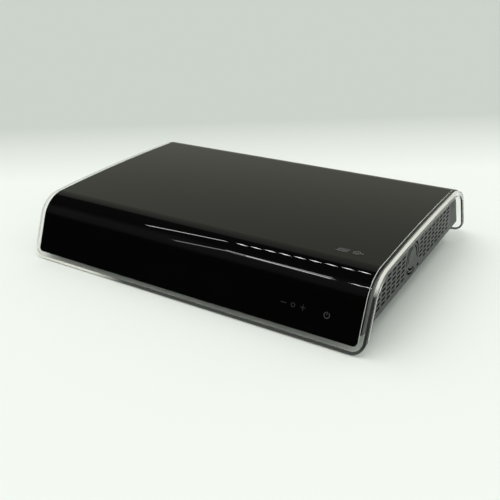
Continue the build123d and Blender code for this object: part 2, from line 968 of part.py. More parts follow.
def inlet_pin_places():
    return inlet_x - inlet_pin_spacing / 2, inlet_x + inlet_pin_spacing / 2


def rocker_pivot():
    return rear_y + rocker_flange - rocker_pivot_depth - rocker_middle_reach


def rocker_frame():
    deep = (rear_y - rocker_body_depth, rear_y)
    frame = block(centred(rocker_x, rocker_frame_width), deep, centred(rocker_z, rocker_frame_height))
    lip_width = rocker_frame_width + 2 * rocker_flange
    lip_height = rocker_frame_height + 2 * rocker_flange
    proud = (rear_y, rear_y + rocker_flange)
    lip = block(centred(rocker_x, lip_width), proud, centred(rocker_z, lip_height))
    frame += chamfer(lip.faces().sort_by(Axis.Y)[-1].edges(), rocker_flange / 3)
    wide = centred(rocker_x, rocker_frame_width - 2 * rocker_wall)
    tall = centred(rocker_z, rocker_frame_height - 2 * rocker_wall)
    cavity = rear_y + rocker_flange - rocker_cavity_depth
    frame -= block(wide, (cavity, rear_y + 2 * rocker_flange), tall)
    hole = rocker_pin_radius + rocker_pin_fit
    frame -= rod_x(hole, rocker_pin_span(rocker_pin_fit), rocker_pivot(), rocker_z)
    for z in terminal_places():
        wide = centred(rocker_x, terminal_width + 2 * aerial_core_gap)
        tall = centred(z, terminal_thickness + 2 * aerial_core_gap)
        frame -= block(wide, (deep[0] - overcut, cavity + overcut), tall)
    return frame


def rocker_pin_span(gap):
    half = rocker_frame_width / 2 - rocker_wall + rocker_pin_bite + gap
    return rocker_x - half, rocker_x + half


def rocker_pin():
    return rod_x(rocker_pin_radius, rocker_pin_span(0), rocker_pivot(), rocker_z)


def power_rocker():
    # Tipped to one side at rest, with the switch off
    half = rocker_half_height
    outline = [
        (rocker_end_reach, -half),
        (rocker_middle_reach, 0),
        (rocker_end_reach, half),
        (-rocker_pin_radius, half),
        (-rocker_back_reach, half / 3),
        (-rocker_back_reach, -half / 3),
        (-rocker_pin_radius, -half),
    ]
    width = rocker_frame_width - 2 * rocker_wall - 2 * rocker_side_gap
    body = extrude(Plane.YZ * Face(Wire.make_polygon(outline)), width / 2, both=True)
    bore = Rot(0, 90, 0) * Cylinder(rocker_pin_radius + rocker_pin_gap, width + overcut)
    return Pos(rocker_x, rocker_pivot(), rocker_z) * Rot(-rocker_tilt, 0, 0) * (body - bore)


def terminal_places():
    return rocker_z - terminal_spacing / 2, rocker_z + terminal_spacing / 2


def mains_contacts():
    # The inlet's two pins and the switch's two blades
    z = board_top + inlet_height / 2
    y = (rear_y - inlet_depth - inlet_pin_tail, rear_y + socket_proud - inlet_pin_set_back)
    pins = [rod_y(inlet_pin_radius, x, y, z) for x in inlet_pin_places()]
    y = (rear_y - rocker_body_depth - terminal_length, rear_y + rocker_flange - rocker_cavity_depth)
    wide = centred(rocker_x, terminal_width)
    blades = [block(wide, y, centred(z, terminal_thickness)) for z in terminal_places()]
    return group(pins + blades)


def reset_flange_y():
    high = rear_inner_y - reset_flange_gap
    return high - reset_flange_thickness, high


def reset_button():
    z = board_top + reset_z_above_board
    low, high = reset_flange_y()
    button = rod_y(reset_radius, reset_x, (low, rear_y + reset_proud), z)
    button = fillet(button.edges().filter_by(GeomType.CIRCLE).sort_by(Axis.Y)[-1], reset_edge)
    button += rod_y(reset_flange_radius, reset_x, (low, high), z)
    return button + rod_y(reset_radius / 2, reset_x, (low - reset_stem_length, high), z)


def reset_switch():
    end = reset_flange_y()[0] - reset_stem_length - reset_travel - reset_stop_gap
    y = (end - reset_switch_depth, end)
    return block(centred(reset_x, reset_switch_width), y, on_board(reset_switch_height))


def scart_socket():
    socket = open_shell(scart_x, scart_height, scart_width, scart_depth, scart_wall)
    z = board_top + scart_height / 2
    core_width = scart_pin_rows * scart_pin_pitch
    y = (rear_y - scart_depth + scart_wall, rear_y - tongue_set_back)
    socket += block(centred(scart_x, core_width), y, centred(z, 2 * tongue_thickness))
    for index in range(scart_pin_rows):
        x = scart_x + (index - (scart_pin_rows - 1) / 2) * scart_pin_pitch
        for side in (-1, 1):
            rib = centred(z + side * (tongue_thickness + scart_rib_lift), scart_rib_height)
            along = (y[0], y[1] - scart_rib_set_back)
            socket += block(centred(x, scart_pin_pitch / 2), along, rib)
    return socket


def hdmi_socket():
    shell = open_shell(hdmi_x, hdmi_height, hdmi_width, hdmi_depth, metal_shell_wall)
    return shell + tongue(hdmi_x, hdmi_height, hdmi_width / 2, hdmi_depth, metal_shell_wall)


def usb_socket():
    shell = open_shell(usb_x, usb_height, usb_width, usb_depth, metal_shell_wall)
    height = usb_height + tongue_thickness
    return shell + tongue(usb_x, height, usb_tongue_width, usb_depth, metal_shell_wall)


def network_socket():
    y = (rear_y - network_depth, rear_y + socket_proud)
    body = block(centred(network_x, network_width), y, on_board(network_height))
    z = centred(board_top + network_height / 2, network_mouth_height)
    deep = (y[1] - network_mouth_depth, y[1] + overcut)
    body -= block(centred(network_x, network_mouth_width), deep, z)
    latch = (z[0] - network_latch_depth, z[0] + overcut)
    return body - block(centred(network_x, network_mouth_width / 2), deep, latch)


def optical_socket():
    y = (rear_y - optical_depth, rear_y + socket_proud)
    body = block(centred(optical_x, optical_size), y, on_board(optical_size))
    z = centred(board_top + optical_size / 2, optical_mouth)
    deep = (y[1] - optical_mouth_depth, y[1] + overcut)
    return body - block(centred(optical_x, optical_mouth), deep, z)


def audio_block():
    y = (rear_y - audio_block_depth, rear_y + socket_proud)
    return block(centred(audio_x, audio_block_width), y, on_board(audio_block_height))


def audio_barrels():
    start = rear_y + socket_proud
    end = start + audio_barrel_length
    z = board_top + audio_block_height / 2
    bore = audio_barrel_radius - audio_barrel_wall
    barrels = []
    for x in audio_places():
        barrel = rod_y(audio_barrel_radius, x, (start, end), z)
        barrels.append(barrel - rod_y(bore, x, (start - overcut, end + overcut), z))
    return group(barrels)


def audio_cores():
    start = rear_y + socket_proud
    end = start + audio_core_length
    z = board_top + audio_block_height / 2
    cores = []
    for x in audio_places():
        core = rod_y(audio_core_radius, x, (start, end), z)
        deep = (end - audio_core_bore_depth, end + overcut)
        cores.append(core - rod_y(audio_core_bore, x, deep, z))
    return group(cores)


def tuner_cans():
    # Screened tuner box in two halves, each with its aerial socket
    width = (tuner_width - tuner_split) / 2
    end = rear_inner_y - cutout_gap
    cans = []
    for side in (-1, 1):
        middle = aerial_x + side * (width + tuner_split) / 2
        can = block(centred(middle, width), (end - tuner_depth, end), on_board(tuner_height))
        cans.append(fillet(can.edges().filter_by(Axis.Z), tuner_corner))
    return group(cans)


def aerial_sockets():
    z = board_top + aerial_height
    start = rear_inner_y - cutout_gap
    end = rear_y + aerial_length
    sockets = []
    for x in aerial_places():
        socket = rod_y(aerial_radius, x, (start, end), z)
        nut = RegularPolygon(aerial_nut_radius, 6)
        socket += extrude(faces_back(x, rear_y, z) * nut, aerial_nut_thickness)
        sockets.append(socket - rod_y(aerial_bore, x, (rear_y, end + overcut), z))
    return group(sockets)


def aerial_cores():
    z = board_top + aerial_height
    end = rear_y + aerial_length - aerial_core_set_back
    cores = []
    for x in aerial_places():
        core = rod_y(aerial_bore - aerial_core_gap, x, (rear_y, end), z)
        deep = (end - aerial_core_depth, end + overcut)
        cores.append(core - rod_y(aerial_core_bore, x, deep, z))
    return group(cores)


def card_reader():
    y = (rear_y + socket_proud - card_reader_depth, rear_y + socket_proud)
    z = centred(card_z, card_reader_height)
    reader = block(centred(card_x, card_reader_width), y, z)
    mouth = (y[1] - card_mouth_depth, y[1] + overcut)
    reader -= block(centred(card_x, card_mouth_width), mouth, centred(card_z, card_mouth_height))
    slot = (y[1] - card_mouth_depth - card_slot_depth, y[1])
    reader -= block(centred(card_x, card_slot_width), slot, centred(card_z, card_slot_height))
    half = (card_reader_width - card_leg_size) / 2
    for x in (card_x - half, card_x + half):
        along = (y[0], y[0] + card_leg_size)
        reader += block(centred(x, card_leg_size), along, (board_top, z[0]))
    return reader


# Boards and what stands on them


def circuit_board(x, holes):
    board = block(x, (board_front_y, board_rear_y), (board_bottom, board_top))
    for hole_x, hole_y in holes:
        board -= rod_z(screw_hole, hole_x, hole_y, (board_bottom - overcut, board_top + overcut))
    return board


def main_board():
    return circuit_board((main_board_left, main_board_right), main_board_holes())


def power_supply_board():
    return circuit_board((power_board_left, power_board_right), power_board_holes())


def board_standoffs():
    standoffs = []
    for x, y in main_board_holes() + power_board_holes():
        post = rod_z(standoff_radius, x, y, (tray_top, board_bottom))
        deep = (tray_top - overcut, board_bottom + overcut)
        standoffs.append(post - rod_z(screw_hole, x, y, deep))
    return group(standoffs)


def board_screws():
    # Down through the two flat boards, and forwards through the front board
    length = board_thickness + screw_bite
    holes = main_board_holes() + power_board_holes()
    screws = [screw(faces_up(x, y, board_top), length) for x, y in holes]
    for x, along in front_post_places():
        seat = slanted(x, along, front_board_back)
        inward = Plane(origin=seat.origin, x_dir=(1, 0, 0), z_dir=seat.z_dir * -1)
        screws.append(screw(inward, length))
    return group(screws)


def main_chips():
    chips = []
    for x, behind, width, depth, height in chip_sizes:
        y = centred(board_middle_y + behind, depth)
        chips.append(block(centred(x, width), y, on_board(height)))
    return group(chips)


def heat_sinks():
    # A finned block on the main chip, and a plate at the edge of the power supply board
    x, behind, _, _, height = chip_sizes[0]
    low = board_top + height
    wide = centred(x, heat_sink_size)
    deep = centred(board_middle_y + behind, heat_sink_size)
    sink = block(wide, deep, (low, low + heat_sink_base))
    gap = (heat_sink_size - heat_sink_fin) / (heat_sink_fins - 1)
    for index in range(heat_sink_fins):
        left = wide[0] + index * gap
        sink += block((left, left + heat_sink_fin), deep, (low, low + heat_sink_height))
    across = (heat_plate_x, heat_plate_x + heat_plate_thickness)
    along = centred(board_middle_y - board_hole_inset, heat_plate_length)
    return group([sink, block(across, along, on_board(heat_plate_height))])


def plug_box(x, y, width, depth):
    return block(centred(x, width), centred(y, depth), on_board(plug_height))


def ribbon_plug_y():
    return board_front_y + 2 * board_hole_inset


def harness_y(index):
    row = index - (harness_wires - 1) / 2
    return board_middle_y - board_inner_row / 2 + row * harness_pitch


def harness_x():
    gap = (main_board_right + power_board_left) / 2
    reach = power_board_left - gap + harness_arch / 2
    return gap - reach, gap + reach


def fan_wire_end():
    return main_board_right - 2 * harness_arch, board_front_y + 2 * board_hole_inset


def board_plugs():
    # Plugs for the ribbon, the disk cables, the power wires and the fan wire
    depth = 2 * plug_margin + ribbon_thickness
    plugs = [plug_box(ribbon_x, ribbon_plug_y(), ribbon_width + plug_margin, depth)]
    width = 2 * (disk_cable_radius + plug_margin / 2)
    for index in range(len(disk_cable_y)):
        plugs.append(plug_box(disk_cable_x(index), ribbon_plug_y(), width, width))
    width = harness_pitch * harness_wires + plug_margin
    middle = (harness_y(0) + harness_y(harness_wires - 1)) / 2
    for x in harness_x():
        plugs.append(plug_box(x, middle, 2 * plug_margin, width))
    x, y = fan_wire_end()
    plugs.append(plug_box(x, y, 2 * plug_margin, 2 * plug_margin))
    return group(plugs)


def bent_wire(points, radius, bend):
    # Round wire along straight runs with rounded bends
    path = FilletPolyline(*points, radius=bend)
    start = Plane(origin=path @ 0, z_dir=path % 0)
    return sweep(start * Circle(radius), path=path)


def power_wires():
    # Four wires between the two boards, and the fan's lead
    low = board_top + plug_height
    high = low + harness_arch
    left, right = harness_x()
    wires = []
    for index in range(harness_wires):
        y = harness_y(index)
        points = [(left, y, low), (left, y, high), (right, y, high), (right, y, low)]
        wires.append(bent_wire(points, harness_wire_radius, harness_arch / 2))
    return group(wires + [fan_lead()])


def disk_cable_x(index):
    return disk_right + disk_connector[0] + (index + 1) * disk_cable_reach


def disk_cables():
    # Data and power cables from the end of the disk to the main board
    z = disk_bottom + disk_board_height + disk_connector[2]
    low = board_top + plug_height
    high = low + disk_cable_rise
    cables = []
    for index, y in enumerate(disk_cable_y):
        x = disk_cable_x(index)
        start = disk_right + disk_connector[0]
        end = ribbon_plug_y()
        points = [(start, y, z), (x, y, z), (x, y, high), (x, end, high), (x, end, low)]
        cables.append(bent_wire(points, disk_cable_radius, disk_cable_bend))
    return group(cables)


def fan_lead():
    x, y = fan_wire_end()
    low = board_bottom + 2 * fan_wire_radius
    side = fan_inner_x - fan_wire_side_gap
    front = fan_y - fan_size / 2 - fan_wire_front_gap
    start = fan_z - fan_size / 2 + fan_wire_height
    top = board_top + plug_height
    points = [(fan_inner_x, fan_y, start), (side, fan_y, start), (side, front, low),
              (x, front, low), (x, y, top + fan_wire_rise), (x, y, top)]
    return bent_wire(points, fan_wire_radius, fan_wire_bend)


def ribbon_path():
    # Y and Z of the ribbon's middle line, from the front board over the base to the main board
    start = slanted(0, front_board_middle, front_board_back + ribbon_thickness)
    y, z = start.origin.Y, start.origin.Z
    low = tray_top + ribbon_thickness
    end = ribbon_plug_y()
    top = board_top + plug_height
    back = y + ribbon_reach
    turn = board_front_y - ribbon_board_gap
    high = top + ribbon_rise
    return [(y, z), (back, z), (back, low), (turn, low), (turn, high), (end, high), (end, top)]


def front_ribbon():
    points = [Vector(ribbon_x, y, z) for y, z in ribbon_path()]
    path = FilletPolyline(*points, radius=ribbon_bend)
    start = Plane(origin=path @ 0, x_dir=(1, 0, 0), z_dir=path % 0)
    return sweep(start * Rectangle(ribbon_width, ribbon_thickness), path=path)


# Power supply parts


def transformer():
    # Core with two windows, one on each side of its middle leg
    width, depth, height = transformer_core
    z = on_board(height)
    core = block(centred(transformer_x, width), centred(transformer_y, depth), z)
    tall = (z[0] + transformer_window, z[1] - transformer_window)
    deep = centred(transformer_y, depth + 2 * overcut)
    for low, high in transformer_windows():
        core -= block((low, high), deep, tall)
    return core


def transformer_windows():
    # Each window is as wide as the middle leg, and the outer legs are half of that
    leg = transformer_core[0] / 4
    left = transformer_x - leg / 2 - leg
    right = transformer_x + leg / 2
    return (left, left + leg), (right, right + leg)


def transformer_winding():
    low, high = transformer_windows()
    z = on_board(transformer_core[2])
    tall = (z[0] + transformer_window + winding_gap, z[1] - transformer_window - winding_gap)
    wide = (low[0] + winding_gap, high[1] - winding_gap)
    winding = block(wide, centred(transformer_y, winding_depth), tall)
    winding = fillet(winding.edges().filter_by(Axis.Z), winding_corner)
    bore = (low[1] - winding_gap, high[0] + winding_gap)
    return winding - block(bore, centred(transformer_y, transformer_core[1] + 2 * winding_gap), z)


def capacitors():
    cans = []
    for index in range(capacitor_count):
        y = rear_y - capacitor_rear_gap - index * capacitor_pitch
        can = rod_z(capacitor_radius, capacitor_x, y, on_board(capacitor_height))
        rims = can.edges().filter_by(GeomType.CIRCLE).sort_by(Axis.Z)
        cans.append(fillet(rims[-1], capacitor_dome))
    return group(cans)


def mains_fuse():
    # Glass tube between the two end caps
    z = board_top + fuse_lift + fuse_radius
    half = fuse_length / 2 - fuse_cap
    return rod_x(fuse_radius - fuse_wall, (inlet_x - half, inlet_x + half), fuse_y, z)


def fuse_caps():
    z = board_top + fuse_lift + fuse_radius
    half = fuse_length / 2
    caps = []
    for side in (-1, 1):
        ends = sorted((inlet_x + side * half, inlet_x + side * (half - fuse_cap)))
        foot = centred(sum(ends) / 2, fuse_foot)
        cap = rod_x(fuse_radius, ends, fuse_y, z)
        caps.append(cap + block(foot, centred(fuse_y, fuse_radius), (board_top, z)))
    return group(caps)


# Hard disk and cradle


def disk_screw_places():
    return [disk_left + x for x in disk_screw_x]


def hard_disk_body():
    tall = (disk_body_bottom, disk_body_top)
    body = block((disk_left, disk_right), (disk_front_y, disk_rear_y), tall)
    body = fillet(body.edges().filter_by(Axis.Z), disk_corner)
    z = disk_bottom + disk_screw_z
    deep = disk_screw_depth + screw_clearance
    for x in disk_screw_places():
        body -= rod_y(screw_hole, x, (disk_front_y - overcut, disk_front_y + deep), z)
        body -= rod_y(screw_hole, x, (disk_rear_y - deep, disk_rear_y + overcut), z)
    return body


def hard_disk_lid():
    x = (disk_left + disk_lid_margin, disk_right - disk_lid_margin)
    y = (disk_front_y + disk_lid_margin, disk_rear_y - disk_lid_margin)
    lid = block(x, y, (disk_body_top, disk_top))
    return fillet(lid.edges().filter_by(Axis.Z), disk_lid_corner)


def hard_disk_board():
    x = (disk_left + disk_board_margin, disk_right - disk_board_margin)
    y = (disk_front_y + disk_board_margin, disk_rear_y - disk_board_margin)
    board = block(x, y, (disk_body_bottom - board_thickness, disk_body_bottom))
    wide = centred(sum(x) / 2, disk_chip_size)
    deep = centred(sum(y) / 2, disk_chip_size)
    return board + block(wide, deep, (disk_bottom, disk_body_bottom - board_thickness))


def disk_connectors():
    reach, width, height = disk_connector
    z = centred(disk_bottom + disk_board_height + height, height)
    middle = sum(disk_cable_y) / len(disk_cable_y)
    return block((disk_right, disk_right + reach), centred(middle, width), z)


def disk_cradle():
    plates = []
    x = (disk_left + cradle_overhang, disk_right - cradle_overhang)
    z = disk_bottom + disk_screw_z
    for side, face in zip((-1, 1), cradle_plate_y()):
        inner = face - side * cradle_thickness
        plate = block(x, sorted((face, inner)), (tray_top, tray_top + cradle_height))
        ear = sorted((face, inner - side * cradle_ear))
        plate += block(x, ear, (tray_top, tray_top + cradle_thickness))
        through = (min(face, inner) - overcut, max(face, inner) + overcut)
        for hole in disk_screw_places():
            plate -= rod_y(screw_hole, hole, through, z)
        deep = (tray_top - overcut, tray_top + cradle_thickness + overcut)
        for hole_x, hole_y in cradle_screw_places():
            plate -= rod_z(screw_hole, hole_x, hole_y, deep)
        plates.append(plate)
    return group(plates)


def disk_grommets():
    z = disk_bottom + disk_screw_z
    reach = grommet_gap + grommet_thickness / 2
    grommets = []
    for x in disk_screw_places():
        for y in (disk_front_y - reach, disk_rear_y + reach):
            ring = rod_y(grommet_radius, x, centred(y, grommet_thickness), z)
            bore = rod_y(screw_hole, x, centred(y, grommet_thickness + overcut), z)
            grommets.append(ring - bore)
    return group(grommets)


def disk_screws():
    # Down through the cradle's feet, and through its plates and grommets into the disk
    seat = tray_top + cradle_thickness
    length = cradle_thickness + tray_thickness
    screws = [screw(faces_up(x, y, seat), length) for x, y in cradle_screw_places()]
    z = disk_bottom + disk_screw_z
    front, rear = cradle_plate_y()
    length = disk_front_y - front + disk_screw_depth
    for x in disk_screw_places():
        screws.append(screw(faces_front(x, front, z), length))
        screws.append(screw(faces_back(x, rear, z), length))
    return group(screws)


# Front board


def front_board():
    along = centred(front_board_middle, front_board_height)
    thick = (front_board_face, front_board_back)
    board = slant_block((front_board_left, front_board_right), along, thick)
    through = (front_board_face - overcut, front_board_back + overcut)
    for x, place in front_post_places():
        board -= slant_rod(screw_hole, x, place, through)
    return board


def display_module():
    along = centred(front_board_middle, display_height)
    inset = (shroud_outer + display_gap, front_board_face)
    return slant_block(centred(display_x, display_width), along, inset)


def touch_pads():
    inset = (shroud_outer + display_gap, front_board_face)
    return group([slant_rod(touch_pad_radius, x, touch_pad_along, inset) for x in touch_pad_x])


def infrared_receiver():
    # Dark block with a round lens towards the gloss panel
    along = centred(front_board_middle, receiver_height)
    middle = shroud_outer + display_gap + receiver_lens
    body = slant_block(centred(receiver_x, receiver_width), along, (middle, front_board_face))
    lens = slanted(receiver_x, front_board_middle, middle) * Sphere(receiver_lens)
    beyond = (front_board_face, front_board_face + 2 * receiver_lens)
    behind = slant_block(centred(receiver_x, receiver_width), along, beyond)
    return body + lens - behind


def status_light():
    middle = shroud_outer + display_gap + status_light_radius
    inset = (middle, front_board_face)
    light = slant_rod(status_light_radius, status_light_x, front_board_middle, inset)
    return light + slanted(status_light_x, front_board_middle, middle) * Sphere(status_light_radius)


# Fan


def fan_screw_places():
    half = fan_hole_pitch / 2
    return [(fan_y + y, fan_z + z) for y in (-half, half) for z in (-half, half)]


def fan_frame():
    x = (fan_inner_x, fan_outer_x)
    frame = block(x, centred(fan_y, fan_size), centred(fan_z, fan_size))
    frame = fillet(frame.edges().filter_by(Axis.X), fan_corner)
    frame -= rod_x(fan_bore_radius, (x[0] - overcut, x[1] + overcut), fan_y, fan_z)
    plate = (x[0], x[0] + fan_plate_thickness)
    reach = fan_bore_radius + fan_strut_root
    strut = Pos(0, reach / 2, 0) * Box(fan_plate_thickness, reach, fan_strut_width)
    for index in range(fan_struts):
        turn = fan_strut_turn + index * 360 / fan_struts
        frame += Pos(sum(plate) / 2, fan_y, fan_z) * Rot(turn, 0, 0) * strut
    frame += rod_x(fan_hub_radius, plate, fan_y, fan_z)
    frame += rod_x(fan_boss_radius, (x[0], plate[1] + fan_boss_length), fan_y, fan_z)
    bore = (plate[0] + fan_plate_thickness / 2, x[1])
    frame -= rod_x(fan_shaft_radius + fan_running_gap, bore, fan_y, fan_z)
    for y, z in fan_screw_places():
        frame -= rod_x(screw_hole, (x[0] - overcut, x[1] + overcut), y, z)
    return frame


def fan_rotor():
    # Hub with a hollow back, its blades cut to the running circle, and the shaft
    start = fan_inner_x + fan_plate_thickness + fan_end_gap
    end = start + fan_hub_length
    middle = (start + end) / 2
    tip = fan_bore_radius - fan_blade_gap
    hub = rod_x(fan_hub_radius, (start, end), 0, 0)
    rotor = fillet(hub.edges().filter_by(GeomType.CIRCLE).sort_by(Axis.X)[-1], fan_hub_wall)
    reach = rod_x(tip, (start - fan_hub_length, end + fan_hub_length), 0, 0)
    length = tip - fan_hub_radius + 2 * fan_hub_wall
    blade = Box(fan_blade_thickness, length, fan_blade_chord)
    blade = Pos(0, (tip + fan_hub_radius) / 2, 0) * Rot(0, fan_blade_angle, 0) * blade
    for index in range(fan_blades):
        turned = Pos(middle, 0, 0) * Rot(index * 360 / fan_blades, 0, 0) * blade
        rotor += turned & reach
    hollow = (start - overcut, end - fan_hub_wall)
    rotor -= rod_x(fan_hub_radius - fan_hub_wall, hollow, 0, 0)
    shaft_start = fan_inner_x + fan_plate_thickness / 2 + fan_running_gap
    rotor += rod_x(fan_shaft_radius, (shaft_start, end - fan_hub_wall / 2), 0, 0)
    return Pos(0, fan_y, fan_z) * rotor


def fan_screw_set():
    length = fan_depth + fan_gap + fan_screw_bite
    screws = []
    for y, z in fan_screw_places():
        seat = Plane(origin=(fan_inner_x, y, z), x_dir=(0, 1, 0), z_dir=(-1, 0, 0))
        screws.append(screw(seat, length))
    return screws


nodes = [
    clear_cover, edge_trim, gloss_panel, cover_foot_strips, left_side_panel, right_side_panel,
    inner_shroud, base_tray, rubber_feet, rear_panel, case_screws,
    mains_inlet, mains_contacts, rocker_frame, rocker_pin, power_rocker, reset_button, reset_switch,
    scart_socket, hdmi_socket, network_socket, usb_socket, optical_socket,
    audio_block, audio_barrels, audio_cores, tuner_cans, aerial_sockets, aerial_cores, card_reader,
    main_board, board_standoffs, board_screws, main_chips, heat_sinks, board_plugs,
    power_supply_board, transformer, transformer_winding, capacitors, mains_fuse, fuse_caps, power_wires,
    hard_disk_body, hard_disk_lid, hard_disk_board, disk_connectors, disk_cradle, disk_grommets,
    disk_screws, disk_cables,
    front_board, display_module, touch_pads, infrared_receiver, status_light, front_ribbon,
    fan_frame, fan_rotor,
]

os.makedirs("parts", exist_ok=True)
for node in nodes:
    export_step(node(), f"parts/{node.__name__}.step")
print(len(nodes), "nodes written")
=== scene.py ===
import json
from math import cos, pi, radians, sin

import bpy
from mathutils import Matrix, Vector


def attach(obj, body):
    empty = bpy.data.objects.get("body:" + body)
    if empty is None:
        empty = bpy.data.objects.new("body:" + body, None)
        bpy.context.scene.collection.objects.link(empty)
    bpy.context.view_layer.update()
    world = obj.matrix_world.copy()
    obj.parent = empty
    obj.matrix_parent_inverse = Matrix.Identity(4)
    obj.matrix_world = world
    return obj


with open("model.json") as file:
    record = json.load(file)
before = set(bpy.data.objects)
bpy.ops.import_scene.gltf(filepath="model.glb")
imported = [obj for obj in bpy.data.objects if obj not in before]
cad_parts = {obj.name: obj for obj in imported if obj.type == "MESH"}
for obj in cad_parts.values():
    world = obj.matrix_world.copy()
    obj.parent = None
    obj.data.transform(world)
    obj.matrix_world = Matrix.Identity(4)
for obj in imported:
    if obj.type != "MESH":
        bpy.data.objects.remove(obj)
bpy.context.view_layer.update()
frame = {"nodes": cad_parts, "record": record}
nodes = frame["nodes"]
record = frame["record"]
print("frame loaded:", len(nodes), "nodes")


# node tree helpers

def newNode(tree, kind, **settings):
    node = tree.nodes.new(kind)
    for name, value in settings.items():
        setattr(node, name, value)
    return node


def feed(tree, socket, source):
    # a socket takes either another socket or a plain value
    if isinstance(source, bpy.types.NodeSocket):
        tree.links.new(source, socket)
    elif source is not None:
        socket.default_value = source


def rgba(colour):
    return (colour[0], colour[1], colour[2], 1.0)


def noise(tree, vector, scale, detail=2.0, rough=0.5):
    node = newNode(tree, "ShaderNodeTexNoise")
    feed(tree, node.inputs["Vector"], vector)
    feed(tree, node.inputs["Scale"], scale)
    node.inputs["Detail"].default_value = detail
    node.inputs["Roughness"].default_value = rough
    return node.outputs["Fac"]


def stretched(tree, vector, scale):
    node = newNode(tree, "ShaderNodeMapping")
    feed(tree, node.inputs["Vector"], vector)
    node.inputs["Scale"].default_value = scale
    return node.outputs["Vector"]


def spread(tree, value, low, high, fromLow=0.0, fromHigh=1.0):
    node = newNode(tree, "ShaderNodeMapRange", clamp=True)
    feed(tree, node.inputs["Value"], value)
    feed(tree, node.inputs["From Min"], fromLow)
    feed(tree, node.inputs["From Max"], fromHigh)
    feed(tree, node.inputs["To Min"], low)
    feed(tree, node.inputs["To Max"], high)
    return node.outputs["Result"]


def mathNode(tree, operation, first, second=None):
    node = newNode(tree, "ShaderNodeMath", operation=operation)
    feed(tree, node.inputs[0], first)
    feed(tree, node.inputs[1], second)
    return node.outputs[0]


def spreadAround(tree, value, middle, reach, span):
    # middle - reach at the low end of the span, middle + reach at its high end
    least = mathNode(tree, "SUBTRACT", middle, reach)
    most = mathNode(tree, "ADD", middle, reach)
    return spread(tree, value, least, most, *span)


def blendColour(tree, factor, first, second):
    node = newNode(tree, "ShaderNodeMix", data_type="RGBA")
    feed(tree, node.inputs["Factor"], factor)
    feed(tree, node.inputs["A"], first)
    feed(tree, node.inputs["B"], second)
    return node.outputs["Result"]


def scaledColour(tree, colour, factor):
    node = newNode(tree, "ShaderNodeVectorMath", operation="SCALE")
    tree.links.new(colour, node.inputs[0])
    tree.links.new(factor, node.inputs["Scale"])
    return node.outputs["Vector"]


def objectPlace(tree):
    return newNode(tree, "ShaderNodeTexCoord").outputs["Object"]


def splitAxes(tree, vector):
    node = newNode(tree, "ShaderNodeSeparateXYZ")
    tree.links.new(vector, node.inputs["Vector"])
    return node.outputs


def startGroup(name, inputs, outputs):
    group = bpy.data.node_groups.new(name, "ShaderNodeTree")
    for label, kind, value in inputs:
        socket = group.interface.new_socket(label, in_out="INPUT", socket_type=kind)
        if value is not None:
            socket.default_value = value
    for label, kind in outputs:
        group.interface.new_socket(label, in_out="OUTPUT", socket_type=kind)
    return group, newNode(group, "NodeGroupInput"), newNode(group, "NodeGroupOutput")


# shared effects

grainLook = {"fineDetail": 3.0, "cloudScale": 60.0, "cloudDetail": 3.0, "cloudSpan": (0.3, 0.7)}


def makeGrainGroup():
    # moulded grain: fine height, cloudy tone and a roughness value
    group, given, result = startGroup(
        "mouldedGrain",
        [("Colour", "NodeSocketColor", (0.1, 0.1, 0.1, 1.0)),
         ("Tone Spread", "NodeSocketFloat", 0.15),
         ("Grain Scale", "NodeSocketFloat", 2500.0),
         ("Roughness", "NodeSocketFloat", 0.45),
         ("Roughness Spread", "NodeSocketFloat", 0.1)],
        [("Colour", "NodeSocketColor"), ("Roughness", "NodeSocketFloat"),
         ("Height", "NodeSocketFloat")])
    place = objectPlace(group)
    fine = noise(group, place, given.outputs["Grain Scale"], grainLook["fineDetail"])
    cloud = noise(group, place, grainLook["cloudScale"], grainLook["cloudDetail"])
    tone = spreadAround(group, cloud, 1.0, given.outputs["Tone Spread"],
                        grainLook["cloudSpan"])
    rough = spreadAround(group, cloud, given.outputs["Roughness"],
                         given.outputs["Roughness Spread"], grainLook["cloudSpan"])
    group.links.new(scaledColour(group, given.outputs["Colour"], tone),
                    result.inputs["Colour"])
    group.links.new(rough, result.inputs["Roughness"])
    group.links.new(fine, result.inputs["Height"])
    return group


brushLook = {"lineDetail": 4.0, "lineRough": 0.6, "patchScale": 45.0, "span": (0.35, 0.65)}


def makeBrushGroup():
    # drawn metal: long fine lines along one axis, with a few darker patches
    group, given, result = startGroup(
        "drawnMetal",
        [("Colour", "NodeSocketColor", (0.6, 0.6, 0.6, 1.0)),
         ("Stretch", "NodeSocketVector", (30.0, 2500.0, 2500.0)),
         ("Tone Spread", "NodeSocketFloat", 0.1),
         ("Roughness", "NodeSocketFloat", 0.3),
         ("Roughness Spread", "NodeSocketFloat", 0.1)],
        [("Colour", "NodeSocketColor"), ("Roughness", "NodeSocketFloat"),
         ("Height", "NodeSocketFloat")])
    place = objectPlace(group)
    scaled = newNode(group, "ShaderNodeVectorMath", operation="MULTIPLY")
    group.links.new(place, scaled.inputs[0])
    group.links.new(given.outputs["Stretch"], scaled.inputs[1])
    lines = noise(group, scaled.outputs["Vector"], 1.0, brushLook["lineDetail"],
                  brushLook["lineRough"])
    patch = noise(group, place, brushLook["patchScale"])
    both = mathNode(group, "MULTIPLY", mathNode(group, "ADD", lines, patch), 0.5)
    tone = spreadAround(group, both, 1.0, given.outputs["Tone Spread"], brushLook["span"])
    rough = spreadAround(group, both, given.outputs["Roughness"],
                         given.outputs["Roughness Spread"], brushLook["span"])
    group.links.new(scaledColour(group, given.outputs["Colour"], tone),
                    result.inputs["Colour"])
    group.links.new(rough, result.inputs["Roughness"])
    group.links.new(lines, result.inputs["Height"])
    return group


smearLook = {"stretch": (9.0, 40.0, 40.0), "wipeDetail": 4.0, "wipeRough": 0.6,
             "wipeSpan": (0.45, 0.75), "waveScale": 14.0}


